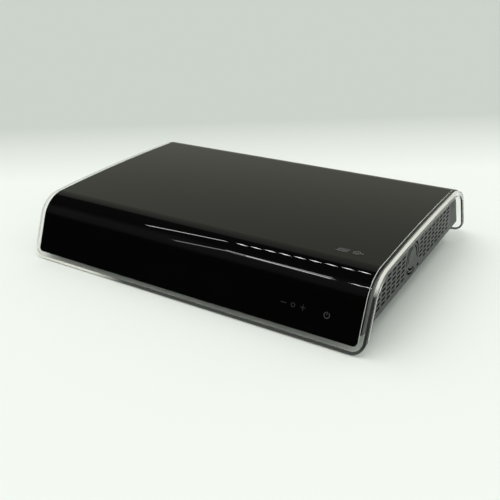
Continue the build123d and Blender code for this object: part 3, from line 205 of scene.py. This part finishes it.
def makeSmearGroup():
    # polished surface: faint wipe marks as a roughness and a mask, and long low waves
    group, given, result = startGroup(
        "polishedSmear",
        [("Roughness", "NodeSocketFloat", 0.04),
         ("Smear", "NodeSocketFloat", 0.03)],
        [("Roughness", "NodeSocketFloat"), ("Height", "NodeSocketFloat"),
         ("Mask", "NodeSocketFloat")])
    place = objectPlace(group)
    wipe = noise(group, stretched(group, place, smearLook["stretch"]), 1.0,
                 smearLook["wipeDetail"], smearLook["wipeRough"])
    mask = spread(group, wipe, 0.0, 1.0, *smearLook["wipeSpan"])
    extra = mathNode(group, "MULTIPLY", mask, given.outputs["Smear"])
    group.links.new(mathNode(group, "ADD", given.outputs["Roughness"], extra),
                    result.inputs["Roughness"])
    group.links.new(noise(group, place, smearLook["waveScale"]), result.inputs["Height"])
    group.links.new(mask, result.inputs["Mask"])
    return group


grainGroup = makeGrainGroup()
brushGroup = makeBrushGroup()
smearGroup = makeSmearGroup()


def placeGroup(tree, group, **values):
    node = newNode(tree, "ShaderNodeGroup", node_tree=group)
    for name, value in values.items():
        node.inputs[name.replace("_", " ")].default_value = value
    return node


def startMaterial(name):
    material = bpy.data.materials.new(name)
    material.use_nodes = True
    tree = material.node_tree
    shader = tree.nodes["Principled BSDF"]
    return material, tree, shader


def addBump(tree, shader, height, distance):
    bump = newNode(tree, "ShaderNodeBump")
    bump.inputs["Distance"].default_value = distance
    tree.links.new(height, bump.inputs["Height"])
    tree.links.new(bump.outputs["Normal"], shader.inputs["Normal"])


baseLook = {"plasticIor": 1.5, "metalRoughSpread": 0.08, "clearSmear": 0.02,
            "clearDust": 0.97, "clearWave": 0.00005}


def plastic(name, colour, rough=0.45, roughSpread=0.08, tone=0.12, grainScale=2500.0,
            grainDepth=0.00004):
    material, tree, shader = startMaterial(name)
    grain = placeGroup(tree, grainGroup, Colour=rgba(colour), Tone_Spread=tone,
                       Grain_Scale=grainScale, Roughness=rough,
                       Roughness_Spread=roughSpread)
    tree.links.new(grain.outputs["Colour"], shader.inputs["Base Color"])
    tree.links.new(grain.outputs["Roughness"], shader.inputs["Roughness"])
    shader.inputs["IOR"].default_value = baseLook["plasticIor"]
    addBump(tree, shader, grain.outputs["Height"], grainDepth)
    return material


def metal(name, colour, rough=0.3, tone=0.08, stretch=(30.0, 2500.0, 2500.0), depth=0.00002):
    material, tree, shader = startMaterial(name)
    brush = placeGroup(tree, brushGroup, Colour=rgba(colour), Stretch=stretch,
                       Tone_Spread=tone, Roughness=rough,
                       Roughness_Spread=baseLook["metalRoughSpread"])
    tree.links.new(brush.outputs["Colour"], shader.inputs["Base Color"])
    tree.links.new(brush.outputs["Roughness"], shader.inputs["Roughness"])
    shader.inputs["Metallic"].default_value = 1.0
    addBump(tree, shader, brush.outputs["Height"], depth)
    return material


def clearMaterial(name, colour, rough=0.01, ior=1.49):
    # glass for every ray but the shadow ray, which passes with the tint only
    material, tree, shader = startMaterial(name)
    smeared = placeGroup(tree, smearGroup, Roughness=rough, Smear=baseLook["clearSmear"])
    tint = blendColour(tree, smeared.outputs["Mask"], rgba(colour),
                       rgba([channel * baseLook["clearDust"] for channel in colour]))
    tree.links.new(tint, shader.inputs["Base Color"])
    tree.links.new(smeared.outputs["Roughness"], shader.inputs["Roughness"])
    shader.inputs["Transmission Weight"].default_value = 1.0
    shader.inputs["IOR"].default_value = ior
    addBump(tree, shader, smeared.outputs["Height"], baseLook["clearWave"])
    through = newNode(tree, "ShaderNodeBsdfTransparent")
    through.inputs["Color"].default_value = rgba(colour)
    light = newNode(tree, "ShaderNodeLightPath")
    mixed = newNode(tree, "ShaderNodeMixShader")
    tree.links.new(light.outputs["Is Shadow Ray"], mixed.inputs["Fac"])
    tree.links.new(shader.outputs["BSDF"], mixed.inputs[1])
    tree.links.new(through.outputs["BSDF"], mixed.inputs[2])
    tree.links.new(mixed.outputs["Shader"],
                   tree.nodes["Material Output"].inputs["Surface"])
    return material


panelLook = {"colour": (0.0008, 0.0009, 0.0008), "dust": 1.6, "rough": 0.015, "smear": 0.025,
             "wave": 0.00002, "ior": 1.49}


def glossBlack():
    material, tree, shader = startMaterial("glossBlack")
    smeared = placeGroup(tree, smearGroup, Roughness=panelLook["rough"],
                         Smear=panelLook["smear"])
    dust = blendColour(tree, smeared.outputs["Mask"], rgba(panelLook["colour"]),
                       rgba([channel * panelLook["dust"] for channel in panelLook["colour"]]))
    tree.links.new(dust, shader.inputs["Base Color"])
    tree.links.new(smeared.outputs["Roughness"], shader.inputs["Roughness"])
    shader.inputs["IOR"].default_value = panelLook["ior"]
    addBump(tree, shader, smeared.outputs["Height"], panelLook["wave"])
    return material


stripLook = {"pale": (0.86, 0.85, 0.78), "dark": (0.035, 0.037, 0.034), "metal": 0.15,
             "stretch": (60.0, 60.0, 60.0), "tone": 0.05, "rough": 0.2, "roughSpread": 0.08,
             "depth": 0.000004, "low": (0.043, 0.049), "left": (-0.1, -0.06)}


def silverStrip():
    # silvered on the top and on the left, with painted shade along the lower front and its
    # right end
    material, tree, shader = startMaterial("silverStrip")
    look = stripLook
    brush = placeGroup(tree, brushGroup, Colour=rgba(look["pale"]), Stretch=look["stretch"],
                       Tone_Spread=look["tone"], Roughness=look["rough"],
                       Roughness_Spread=look["roughSpread"])
    axes = splitAxes(tree, objectPlace(tree))
    # painted shade: the strip is painted dark below a height, all along except its left end
    low = spread(tree, axes["Z"], 1.0, 0.0, *look["low"])
    right = spread(tree, axes["X"], 0.0, 1.0, *look["left"])
    paintedShade = mathNode(tree, "MULTIPLY", low, right)
    tree.links.new(blendColour(tree, paintedShade, brush.outputs["Colour"], rgba(look["dark"])),
                   shader.inputs["Base Color"])
    tree.links.new(brush.outputs["Roughness"], shader.inputs["Roughness"])
    shader.inputs["Metallic"].default_value = look["metal"]
    addBump(tree, shader, brush.outputs["Height"], look["depth"])
    return material


sideLook = {"paint": (0.058, 0.062, 0.058), "core": (0.0015, 0.0015, 0.0015),
            "face": (0.75, 0.95), "shine": 0.15, "tone": 0.08, "grainScale": 3500.0,
            "rough": 0.36, "roughSpread": 0.05, "grainDepth": 0.00002}


def sidePanel():
    # black moulding, painted grey on its flat faces; the slot walls and edge faces are near
    # black, partly the bare moulding and partly painted shade for the depth of the slots
    material, tree, shader = startMaterial("sidePanel")
    look = sideLook
    grain = placeGroup(tree, grainGroup, Colour=rgba(look["paint"]), Tone_Spread=look["tone"],
                       Grain_Scale=look["grainScale"], Roughness=look["rough"],
                       Roughness_Spread=look["roughSpread"])
    axes = splitAxes(tree, newNode(tree, "ShaderNodeTexCoord").outputs["Normal"])
    # painted shade: faces not turned along X take the near-black core colour, which darkens the
    # slot walls
    flat = spread(tree, mathNode(tree, "ABSOLUTE", axes["X"]), 0.0, 1.0, *look["face"])
    tree.links.new(blendColour(tree, flat, rgba(look["core"]), grain.outputs["Colour"]),
                   shader.inputs["Base Color"])
    tree.links.new(grain.outputs["Roughness"], shader.inputs["Roughness"])
    shader.inputs["Specular IOR Level"].default_value = look["shine"]
    addBump(tree, shader, grain.outputs["Height"], look["grainDepth"])
    return material


boardLook = {"trackScale": 60.0, "trackGap": 0.035, "offset": 0.35, "squash": 0.6,
             "trackTones": (0.0, 0.15, 1.0), "padScale": 160.0, "padSpan": (0.12, 0.16),
             "bare": (0.02, 0.11, 0.045), "track": (0.045, 0.2, 0.08), "pad": (0.62, 0.6, 0.55),
             "rough": (0.35, 0.22), "depth": 0.00005}


def solderMask():
    # green board: mask over copper tracks and small pads
    material, tree, shader = startMaterial("solderMask")
    look = boardLook
    place = objectPlace(tree)
    tracks = newNode(tree, "ShaderNodeTexBrick", offset=look["offset"], squash=look["squash"])
    tree.links.new(place, tracks.inputs["Vector"])
    tracks.inputs["Scale"].default_value = look["trackScale"]
    tracks.inputs["Mortar Size"].default_value = look["trackGap"]
    for label, tone in zip(("Color1", "Color2", "Mortar"), look["trackTones"]):
        tracks.inputs[label].default_value = (tone, tone, tone, 1.0)
    dots = newNode(tree, "ShaderNodeTexVoronoi")
    tree.links.new(place, dots.inputs["Vector"])
    dots.inputs["Scale"].default_value = look["padScale"]
    pads = spread(tree, dots.outputs["Distance"], 1.0, 0.0, *look["padSpan"])
    mask = blendColour(tree, tracks.outputs["Color"], rgba(look["bare"]), rgba(look["track"]))
    tree.links.new(blendColour(tree, pads, mask, rgba(look["pad"])),
                   shader.inputs["Base Color"])
    tree.links.new(spread(tree, pads, *look["rough"]), shader.inputs["Roughness"])
    addBump(tree, shader, tracks.outputs["Color"], look["depth"])
    return material


def bandedMaterial(name, look, **wave):
    # even bands along one axis, with two tones and a height
    material, tree, shader = startMaterial(name)
    place = objectPlace(tree)
    bands = newNode(tree, "ShaderNodeTexWave", wave_type="BANDS", **wave)
    tree.links.new(place, bands.inputs["Vector"])
    bands.inputs["Scale"].default_value = look["bandScale"]
    tree.links.new(blendColour(tree, bands.outputs["Fac"], rgba(look["dark"]),
                               rgba(look["light"])), shader.inputs["Base Color"])
    tree.links.new(spread(tree, noise(tree, place, look["grainScale"]), *look["rough"]),
                   shader.inputs["Roughness"])
    addBump(tree, shader, bands.outputs["Fac"], look["depth"])
    return material


ribbonLook = {"bandScale": 250.0, "dark": (0.36, 0.37, 0.39), "light": (0.56, 0.57, 0.6),
              "grainScale": 300.0, "rough": (0.4, 0.6), "depth": 0.0002}
tapeLook = {"bandScale": 60.0, "dark": (0.7, 0.52, 0.1), "light": (0.78, 0.62, 0.18),
            "grainScale": 400.0, "rough": (0.2, 0.35), "depth": 0.0001}


finishes = {
    "clear_acrylic": clearMaterial("clearAcrylic", (0.975, 0.98, 0.975)),
    "silver_strip": silverStrip(),
    "gloss_black": glossBlack(),
    "black_rubber": plastic("blackRubber", (0.02, 0.02, 0.02), rough=0.75),
    "grey_panel": sidePanel(),
    "dark_shroud": plastic("darkShroud", (0.012, 0.012, 0.013), rough=0.5),
    "galvanised_sheet": metal("galvanisedSheet", (0.58, 0.6, 0.61), rough=0.42, tone=0.16,
                              stretch=(140.0, 140.0, 140.0), depth=0.00001),
    "black_steel": plastic("paintedSteel", (0.02, 0.02, 0.022), rough=0.4, grainScale=1400.0,
                           grainDepth=0.00008),
    "screw_steel": metal("screwSteel", (0.55, 0.55, 0.56), rough=0.32,
                         stretch=(900.0, 900.0, 900.0)),
    "black_plastic": plastic("blackPlastic", (0.02, 0.02, 0.022), rough=0.38),
    "switch_black": plastic("rockerPlastic", (0.028, 0.028, 0.03), rough=0.28,
                            grainDepth=0.00001),
    "brass_metal": metal("brass", (0.78, 0.58, 0.26), rough=0.24),
    "nickel": metal("nickelPlate", (0.76, 0.73, 0.68), rough=0.16,
                    stretch=(400.0, 400.0, 400.0)),
    "tin_plate": metal("tinPlate", (0.68, 0.69, 0.7), rough=0.3,
                       stretch=(1200.0, 60.0, 1200.0)),
    "socket_core": plastic("socketCore", (0.72, 0.7, 0.64), rough=0.4),
    "green_board": solderMask(),
    "chip_black": plastic("chipEpoxy", (0.018, 0.018, 0.02), rough=0.5, grainScale=5000.0),
    "heat_sink_aluminium": metal("castAluminium", (0.72, 0.73, 0.74), rough=0.35,
                                 stretch=(2500.0, 60.0, 2500.0)),
    "disk_lid_steel": metal("pressedSteel", (0.72, 0.73, 0.74), rough=0.24,
                            stretch=(2500.0, 30.0, 2500.0)),
    "plug_cream": plastic("nylon", (0.76, 0.72, 0.62), rough=0.42),
    "ferrite": plastic("ferrite", (0.05, 0.05, 0.055), rough=0.6, grainScale=4000.0,
                       grainDepth=0.00008),
    "winding_tape": bandedMaterial("woundTape", tapeLook, bands_direction="Z",
                                   wave_profile="SAW"),
    "capacitor_sleeve": plastic("capacitorSleeve", (0.012, 0.02, 0.06), rough=0.22,
                                grainDepth=0.00001),
    "fuse_glass": clearMaterial("fuseGlass", (0.96, 0.98, 0.97), ior=1.52),
    "wire_red": plastic("wireSleeve", (0.35, 0.03, 0.03), rough=0.45),
    "ribbon_grey": bandedMaterial("ribbonCable", ribbonLook, bands_direction="X"),
    "display_glass": plastic("displayGlass", (0.012, 0.014, 0.016), rough=0.08,
                             roughSpread=0.03, grainDepth=0.000002),
    "copper_pad": metal("copperPad", (0.78, 0.44, 0.28), rough=0.3,
                        stretch=(600.0, 600.0, 600.0)),
    "light_lens": clearMaterial("lensPlastic", (0.9, 0.3, 0.25), rough=0.06),
}

for part in record["subparts"]:
    shape = nodes[part["node"]]
    for slot in shape.material_slots:
        slot.material = finishes[part["material_slot"]]
print("finishes set:", len(finishes))


# marks on the front and on the top

markLook = {"lift": 0.00003, "thick": 0.00006, "stroke": 0.0004,
            "colour": (0.03, 0.031, 0.03), "powerColour": (0.085, 0.088, 0.085),
            "printColour": (0.13, 0.135, 0.13)}
frontFoot = Vector((0.0, -0.1312, 0.0))  # where the plane of the leaning front meets the floor
frontLean = radians(23.2)

inkGrain = {"grainScale": 6000.0, "grainDepth": 0.000004}
markInk = plastic("markInk", markLook["colour"], rough=0.5, tone=0.1, **inkGrain)
powerInk = plastic("powerInk", markLook["powerColour"], rough=0.5, tone=0.1, **inkGrain)
printInk = plastic("printInk", markLook["printColour"], rough=0.6, tone=0.2, **inkGrain)


def frontPlace(x, slope):
    # matrix whose XY plane lies on the leaning front, Y up the slope
    along = Vector((0.0, sin(frontLean), cos(frontLean)))
    out = Vector((0.0, -cos(frontLean), sin(frontLean)))
    origin = frontFoot + along * slope + Vector((x, 0.0, 0.0)) + out * markLook["lift"]
    columns = Matrix((Vector((1.0, 0.0, 0.0)), along, out)).transposed()
    return Matrix.Translation(origin) @ columns.to_4x4()


def strokeShape(points, width, thick, closed):
    # corners and faces of a thin bar that follows points in the XY plane
    count = len(points)
    corners = []
    for number, point in enumerate(points):
        before = points[number - 1] if number or closed else point
        after = points[(number + 1) % count] if number < count - 1 or closed else point
        way = (Vector(after) - Vector(before)).normalized()
        side = Vector((-way.y, way.x)) * width / 2
        left = (point[0] + side.x, point[1] + side.y)
        right = (point[0] - side.x, point[1] - side.y)
        corners += [(*left, 0.0), (*right, 0.0), (*right, thick), (*left, thick)]
    faces = []
    for number in range(count if closed else count - 1):
        first, second = 4 * number, 4 * ((number + 1) % count)
        for edge in range(4):
            turn = (edge + 1) % 4
            faces.append((second + edge, second + turn, first + turn, first + edge))
    if not closed:
        last = len(corners) - 4
        faces += [(0, 1, 2, 3), (last + 3, last + 2, last + 1, last)]
    return corners, faces


def arcPoints(radius, start, stop, steps):
    turn = (stop - start) / steps
    return [(radius * cos(start + turn * step), radius * sin(start + turn * step))
            for step in range(steps + 1)]


def addMark(name, place, strokes, ink=markInk):
    corners, faces = [], []
    for points, width, closed in strokes:
        newCorners, newFaces = strokeShape(points, width, markLook["thick"], closed)
        faces += [tuple(corner + len(corners) for corner in face) for face in newFaces]
        corners += newCorners
    data = bpy.data.meshes.new(name)
    data.from_pydata(corners, [], faces)
    piece = bpy.data.objects.new(name, data)
    bpy.context.scene.collection.objects.link(piece)
    data.materials.append(ink)
    piece.matrix_world = place
    return piece


# places on the front: x, and the way up the slope; sizes of the four signs
iconLook = {"slope": 0.0261, "minus": 0.1034, "ring": 0.1119, "plus": 0.1206,
            "power": 0.1411, "powerSlope": 0.0255, "size": 0.0048, "ringSize": 0.0032,
            "powerSize": 0.0046, "powerGap": radians(32), "stem": (0.15, 1.25), "steps": 40}


def makeIcons():
    half = iconLook["size"] / 2
    width = markLook["stroke"]
    bar = [(-half, 0.0), (half, 0.0)]
    upper = [(0.0, half), (0.0, width / 2)]
    lower = [(0.0, -width / 2), (0.0, -half)]
    level = frontPlace(iconLook["minus"], iconLook["slope"])
    made = [addMark("mark_minus", level, [(bar, width, False)])]
    ring = arcPoints(iconLook["ringSize"] / 2, 0.0, 2 * pi, iconLook["steps"])[:-1]
    made.append(addMark("mark_ring", frontPlace(iconLook["ring"], iconLook["slope"]),
                        [(ring, width, True)]))
    made.append(addMark("mark_plus", frontPlace(iconLook["plus"], iconLook["slope"]),
                        [(bar, width, False), (upper, width, False),
                         (lower, width, False)]))
    wide = iconLook["powerSize"] / 2
    gap = iconLook["powerGap"]
    arc = arcPoints(wide, pi / 2 + gap, pi / 2 + 2 * pi - gap, iconLook["steps"])
    stem = [(0.0, wide * share) for share in iconLook["stem"]]
    made.append(addMark("mark_power",
                        frontPlace(iconLook["power"], iconLook["powerSlope"]),
                        [(arc, width, False), (stem, width, False)], powerInk))
    return made


printLook = {"places": ((0.1331, -0.0778, 0.05775), (0.1449, -0.0774, 0.0578)),
             "lift": 0.00008, "bars": 5, "length": 0.0095, "step": 0.0012, "slant": 0.25,
             "stroke": 0.0006, "round": 0.0028, "roundSteps": 32, "inner": 0.5,
             "innerSteps": 24, "tail": (1.1, 2.0)}


def makePrints():
    # two small grey prints near the front of the top: a set of slanted bars and a disc mark
    look = printLook
    lift = Vector((0.0, 0.0, look["lift"]))
    barPlace, discPlace = [Matrix.Translation(Vector(place) + lift) for place in look["places"]]
    half = look["length"] / 2
    middle = (look["bars"] - 1) / 2
    bars = []
    for number in range(look["bars"]):
        rise = (number - middle) * look["step"]
        shift = rise * look["slant"]
        bars.append(([(shift - half, rise), (shift + half, rise)], look["stroke"], False))
    outer = arcPoints(look["round"], 0.0, 2 * pi, look["roundSteps"])[:-1]
    inner = arcPoints(look["round"] * look["inner"], 0.0, 2 * pi, look["innerSteps"])[:-1]
    tail = [(look["round"] * share, 0.0) for share in look["tail"]]
    disc = [(outer, look["stroke"], True), (inner, look["stroke"], True),
            (tail, look["stroke"] * 2, False)]
    return [addMark("print_bars", barPlace, bars, printInk),
            addMark("print_disc", discPlace, disc, printInk)]


for piece in makeIcons() + makePrints():
    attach(piece, "chassis")
print("marks made")


# floor, light and camera

floorLook = {"half": 6.0, "near": (0.905, 0.945, 0.885), "far": (0.6, 0.64, 0.59),
             "change": (0.2, 0.46), "way": (-0.5426, 0.84, 0.0), "grainScale": 80.0,
             "rough": (0.6, 0.75)}


def makeFloor():
    half = floorLook["half"]
    data = bpy.data.meshes.new("studio_floor")
    corners = [(-half, -half, 0.0), (half, -half, 0.0), (half, half, 0.0),
               (-half, half, 0.0)]
    data.from_pydata(corners, [], [(0, 1, 2, 3)])
    floor = bpy.data.objects.new("studio_floor", data)
    bpy.context.scene.collection.objects.link(floor)
    material, tree, shader = startMaterial("studioFloor")
    place = objectPlace(tree)
    # painted shade: the floor turns from the near colour to the darker far colour along this
    # way, for the light falling off away from the object
    away = newNode(tree, "ShaderNodeVectorMath", operation="DOT_PRODUCT")
    tree.links.new(place, away.inputs[0])
    away.inputs[1].default_value = floorLook["way"]
    farShade = spread(tree, away.outputs["Value"], 0.0, 1.0, *floorLook["change"])
    tree.links.new(blendColour(tree, farShade, rgba(floorLook["near"]), rgba(floorLook["far"])),
                   shader.inputs["Base Color"])
    grain = noise(tree, place, floorLook["grainScale"])
    tree.links.new(spread(tree, grain, *floorLook["rough"]), shader.inputs["Roughness"])
    shader.inputs["Specular IOR Level"].default_value = 0.0
    data.materials.append(material)


makeFloor()

worldLook = {"plain": (0.62, 0.63, 0.62), "seen": (0.9, 0.94, 0.88)}

# what a mirror on the object sees, by the angle from the back horizon over the top
surround = [
    (0.0, (0.33, 0.34, 0.28)), (33.0, (0.33, 0.34, 0.28)), (50.0, (0.26, 0.27, 0.23)),
    (64.0, (0.22, 0.23, 0.2)), (67.0, (0.03, 0.03, 0.03)), (110.0, (0.03, 0.03, 0.03)),
    (128.0, (0.12, 0.12, 0.12)), (146.0, (0.1, 0.1, 0.1)), (156.0, (0.01, 0.01, 0.01)),
    (180.0, (0.01, 0.01, 0.01)),
]


def makeWorld():
    world = bpy.data.worlds.new("studioWorld")
    bpy.context.scene.world = world
    world.use_nodes = True
    tree = world.node_tree
    tree.nodes.clear()
    axes = splitAxes(tree, newNode(tree, "ShaderNodeTexCoord").outputs["Generated"])
    angle = mathNode(tree, "ARCTAN2", axes["Z"], axes["Y"])
    ramp = newNode(tree, "ShaderNodeValToRGB")
    tree.links.new(mathNode(tree, "DIVIDE", angle, pi), ramp.inputs["Fac"])
    stops = ramp.color_ramp.elements
    for number, (degrees, colour) in enumerate(surround):
        place = degrees / 180.0
        # a new ramp has two stops already
        stop = stops[number] if number < 2 else stops.new(place)
        stop.position = place
        stop.color = rgba(colour)
    light = newNode(tree, "ShaderNodeLightPath")
    seen = rgba(worldLook["seen"])
    mirrored = blendColour(tree, light.outputs["Is Glossy Ray"], rgba(worldLook["plain"]),
                           ramp.outputs["Color"])
    through = blendColour(tree, light.outputs["Is Transmission Ray"], mirrored, seen)
    whole = blendColour(tree, light.outputs["Is Camera Ray"], through, seen)
    back = newNode(tree, "ShaderNodeBackground")
    tree.links.new(whole, back.inputs["Color"])
    output = newNode(tree, "ShaderNodeOutputWorld")
    tree.links.new(back.outputs["Background"], output.inputs["Surface"])


makeWorld()

sunLook = {"from": (-0.28, 0.08, 1.0), "wide": 70.0, "strength": 1.28}

# ceiling lamps that only glossy surfaces see: long tubes, and a row of small spots
ceilingHeight = 1.5
tubeLook = [
    {"ends": ((-1.22, -0.46), (-0.84, -0.08)), "wide": 0.03, "power": 0.6},
    {"ends": ((-1.42, -1.43), (-0.96, -0.99)), "wide": 0.03, "power": 0.35},
    {"ends": ((-0.97, -0.95), (-0.53, -0.97)), "wide": 0.02, "power": 0.45},
    {"ends": ((-0.9, -1.02), (-0.57, -1.13)), "wide": 0.035, "power": 0.9},
    {"ends": ((-0.98, -1.03), (-0.54, -1.06)), "wide": 0.16, "power": 0.55},
]
spotLook = {"first": (-0.778, -0.03), "last": (-0.35, 0.225), "count": 9, "long": 0.028,
            "wide": 0.05, "power": 0.12, "extra": ((-0.452, -1.059), (-0.405, -1.048))}


def addLamp(name, kind, energy):
    data = bpy.data.lights.new(name, kind)
    data.energy = energy
    lamp = bpy.data.objects.new(name, data)
    bpy.context.scene.collection.objects.link(lamp)
    return lamp, data


def addSun(look):
    lamp, data = addLamp("sun_light", "SUN", look["strength"])
    data.angle = radians(look["wide"])
    lamp.rotation_euler = (-Vector(look["from"])).to_track_quat("-Z", "Y").to_euler()
    lamp.visible_glossy = False


def addCeiling(name, middle, way, long, wide, power):
    lamp, data = addLamp(name, "AREA", power)
    data.shape = "RECTANGLE"
    data.size = long
    data.size_y = wide
    lamp.location = (middle.x, middle.y, ceilingHeight)
    lamp.rotation_euler = (0.0, 0.0, way.angle_signed(Vector((1.0, 0.0))))
    lamp.visible_diffuse = False
    lamp.visible_transmission = False
    lamp.visible_camera = False


def addTubes():
    for number, tube in enumerate(tubeLook):
        first, last = [Vector(end) for end in tube["ends"]]
        addCeiling("tube_%d" % number, (first + last) / 2, last - first,
                   (last - first).length, tube["wide"], tube["power"])


def addSpots():
    first, last = Vector(spotLook["first"]), Vector(spotLook["last"])
    way = last - first
    steps = spotLook["count"] - 1
    places = [first + way * step / steps for step in range(steps + 1)]
    places += [Vector(place) for place in spotLook["extra"]]
    for number, place in enumerate(places):
        addCeiling("spot_%d" % number, place, way, spotLook["long"], spotLook["wide"],
                   spotLook["power"])


addSun(sunLook)
addTubes()
addSpots()

cameraLook = {"place": (0.32313, -0.50704, 0.29024), "azimuth": 0.5735, "pitch": 0.4602,
              "roll": -0.0322, "pixels": 657.77, "frame": 500.0, "sensor": 36.0,
              "nearest": 0.01}


def makeCamera():
    look = cameraLook
    level = cos(look["pitch"])
    ahead = Vector((-sin(look["azimuth"]) * level, cos(look["azimuth"]) * level,
                    -sin(look["pitch"])))
    right = Vector((cos(look["azimuth"]), sin(look["azimuth"]), 0.0))
    up = right.cross(ahead)
    rolledRight = right * cos(look["roll"]) + up * sin(look["roll"])
    rolledUp = up * cos(look["roll"]) - right * sin(look["roll"])
    turn = Matrix((rolledRight, rolledUp, -ahead)).transposed().to_4x4()
    data = bpy.data.cameras.new("photo_camera")
    data.sensor_width = look["sensor"]
    data.lens = look["pixels"] / look["frame"] * look["sensor"]
    data.clip_start = look["nearest"]
    camera = bpy.data.objects.new("photo_camera", data)
    bpy.context.scene.collection.objects.link(camera)
    camera.matrix_world = Matrix.Translation(Vector(look["place"])) @ turn
    bpy.context.scene.camera = camera


makeCamera()
bpy.context.scene.view_settings.view_transform = "Standard"
print("stage ready")
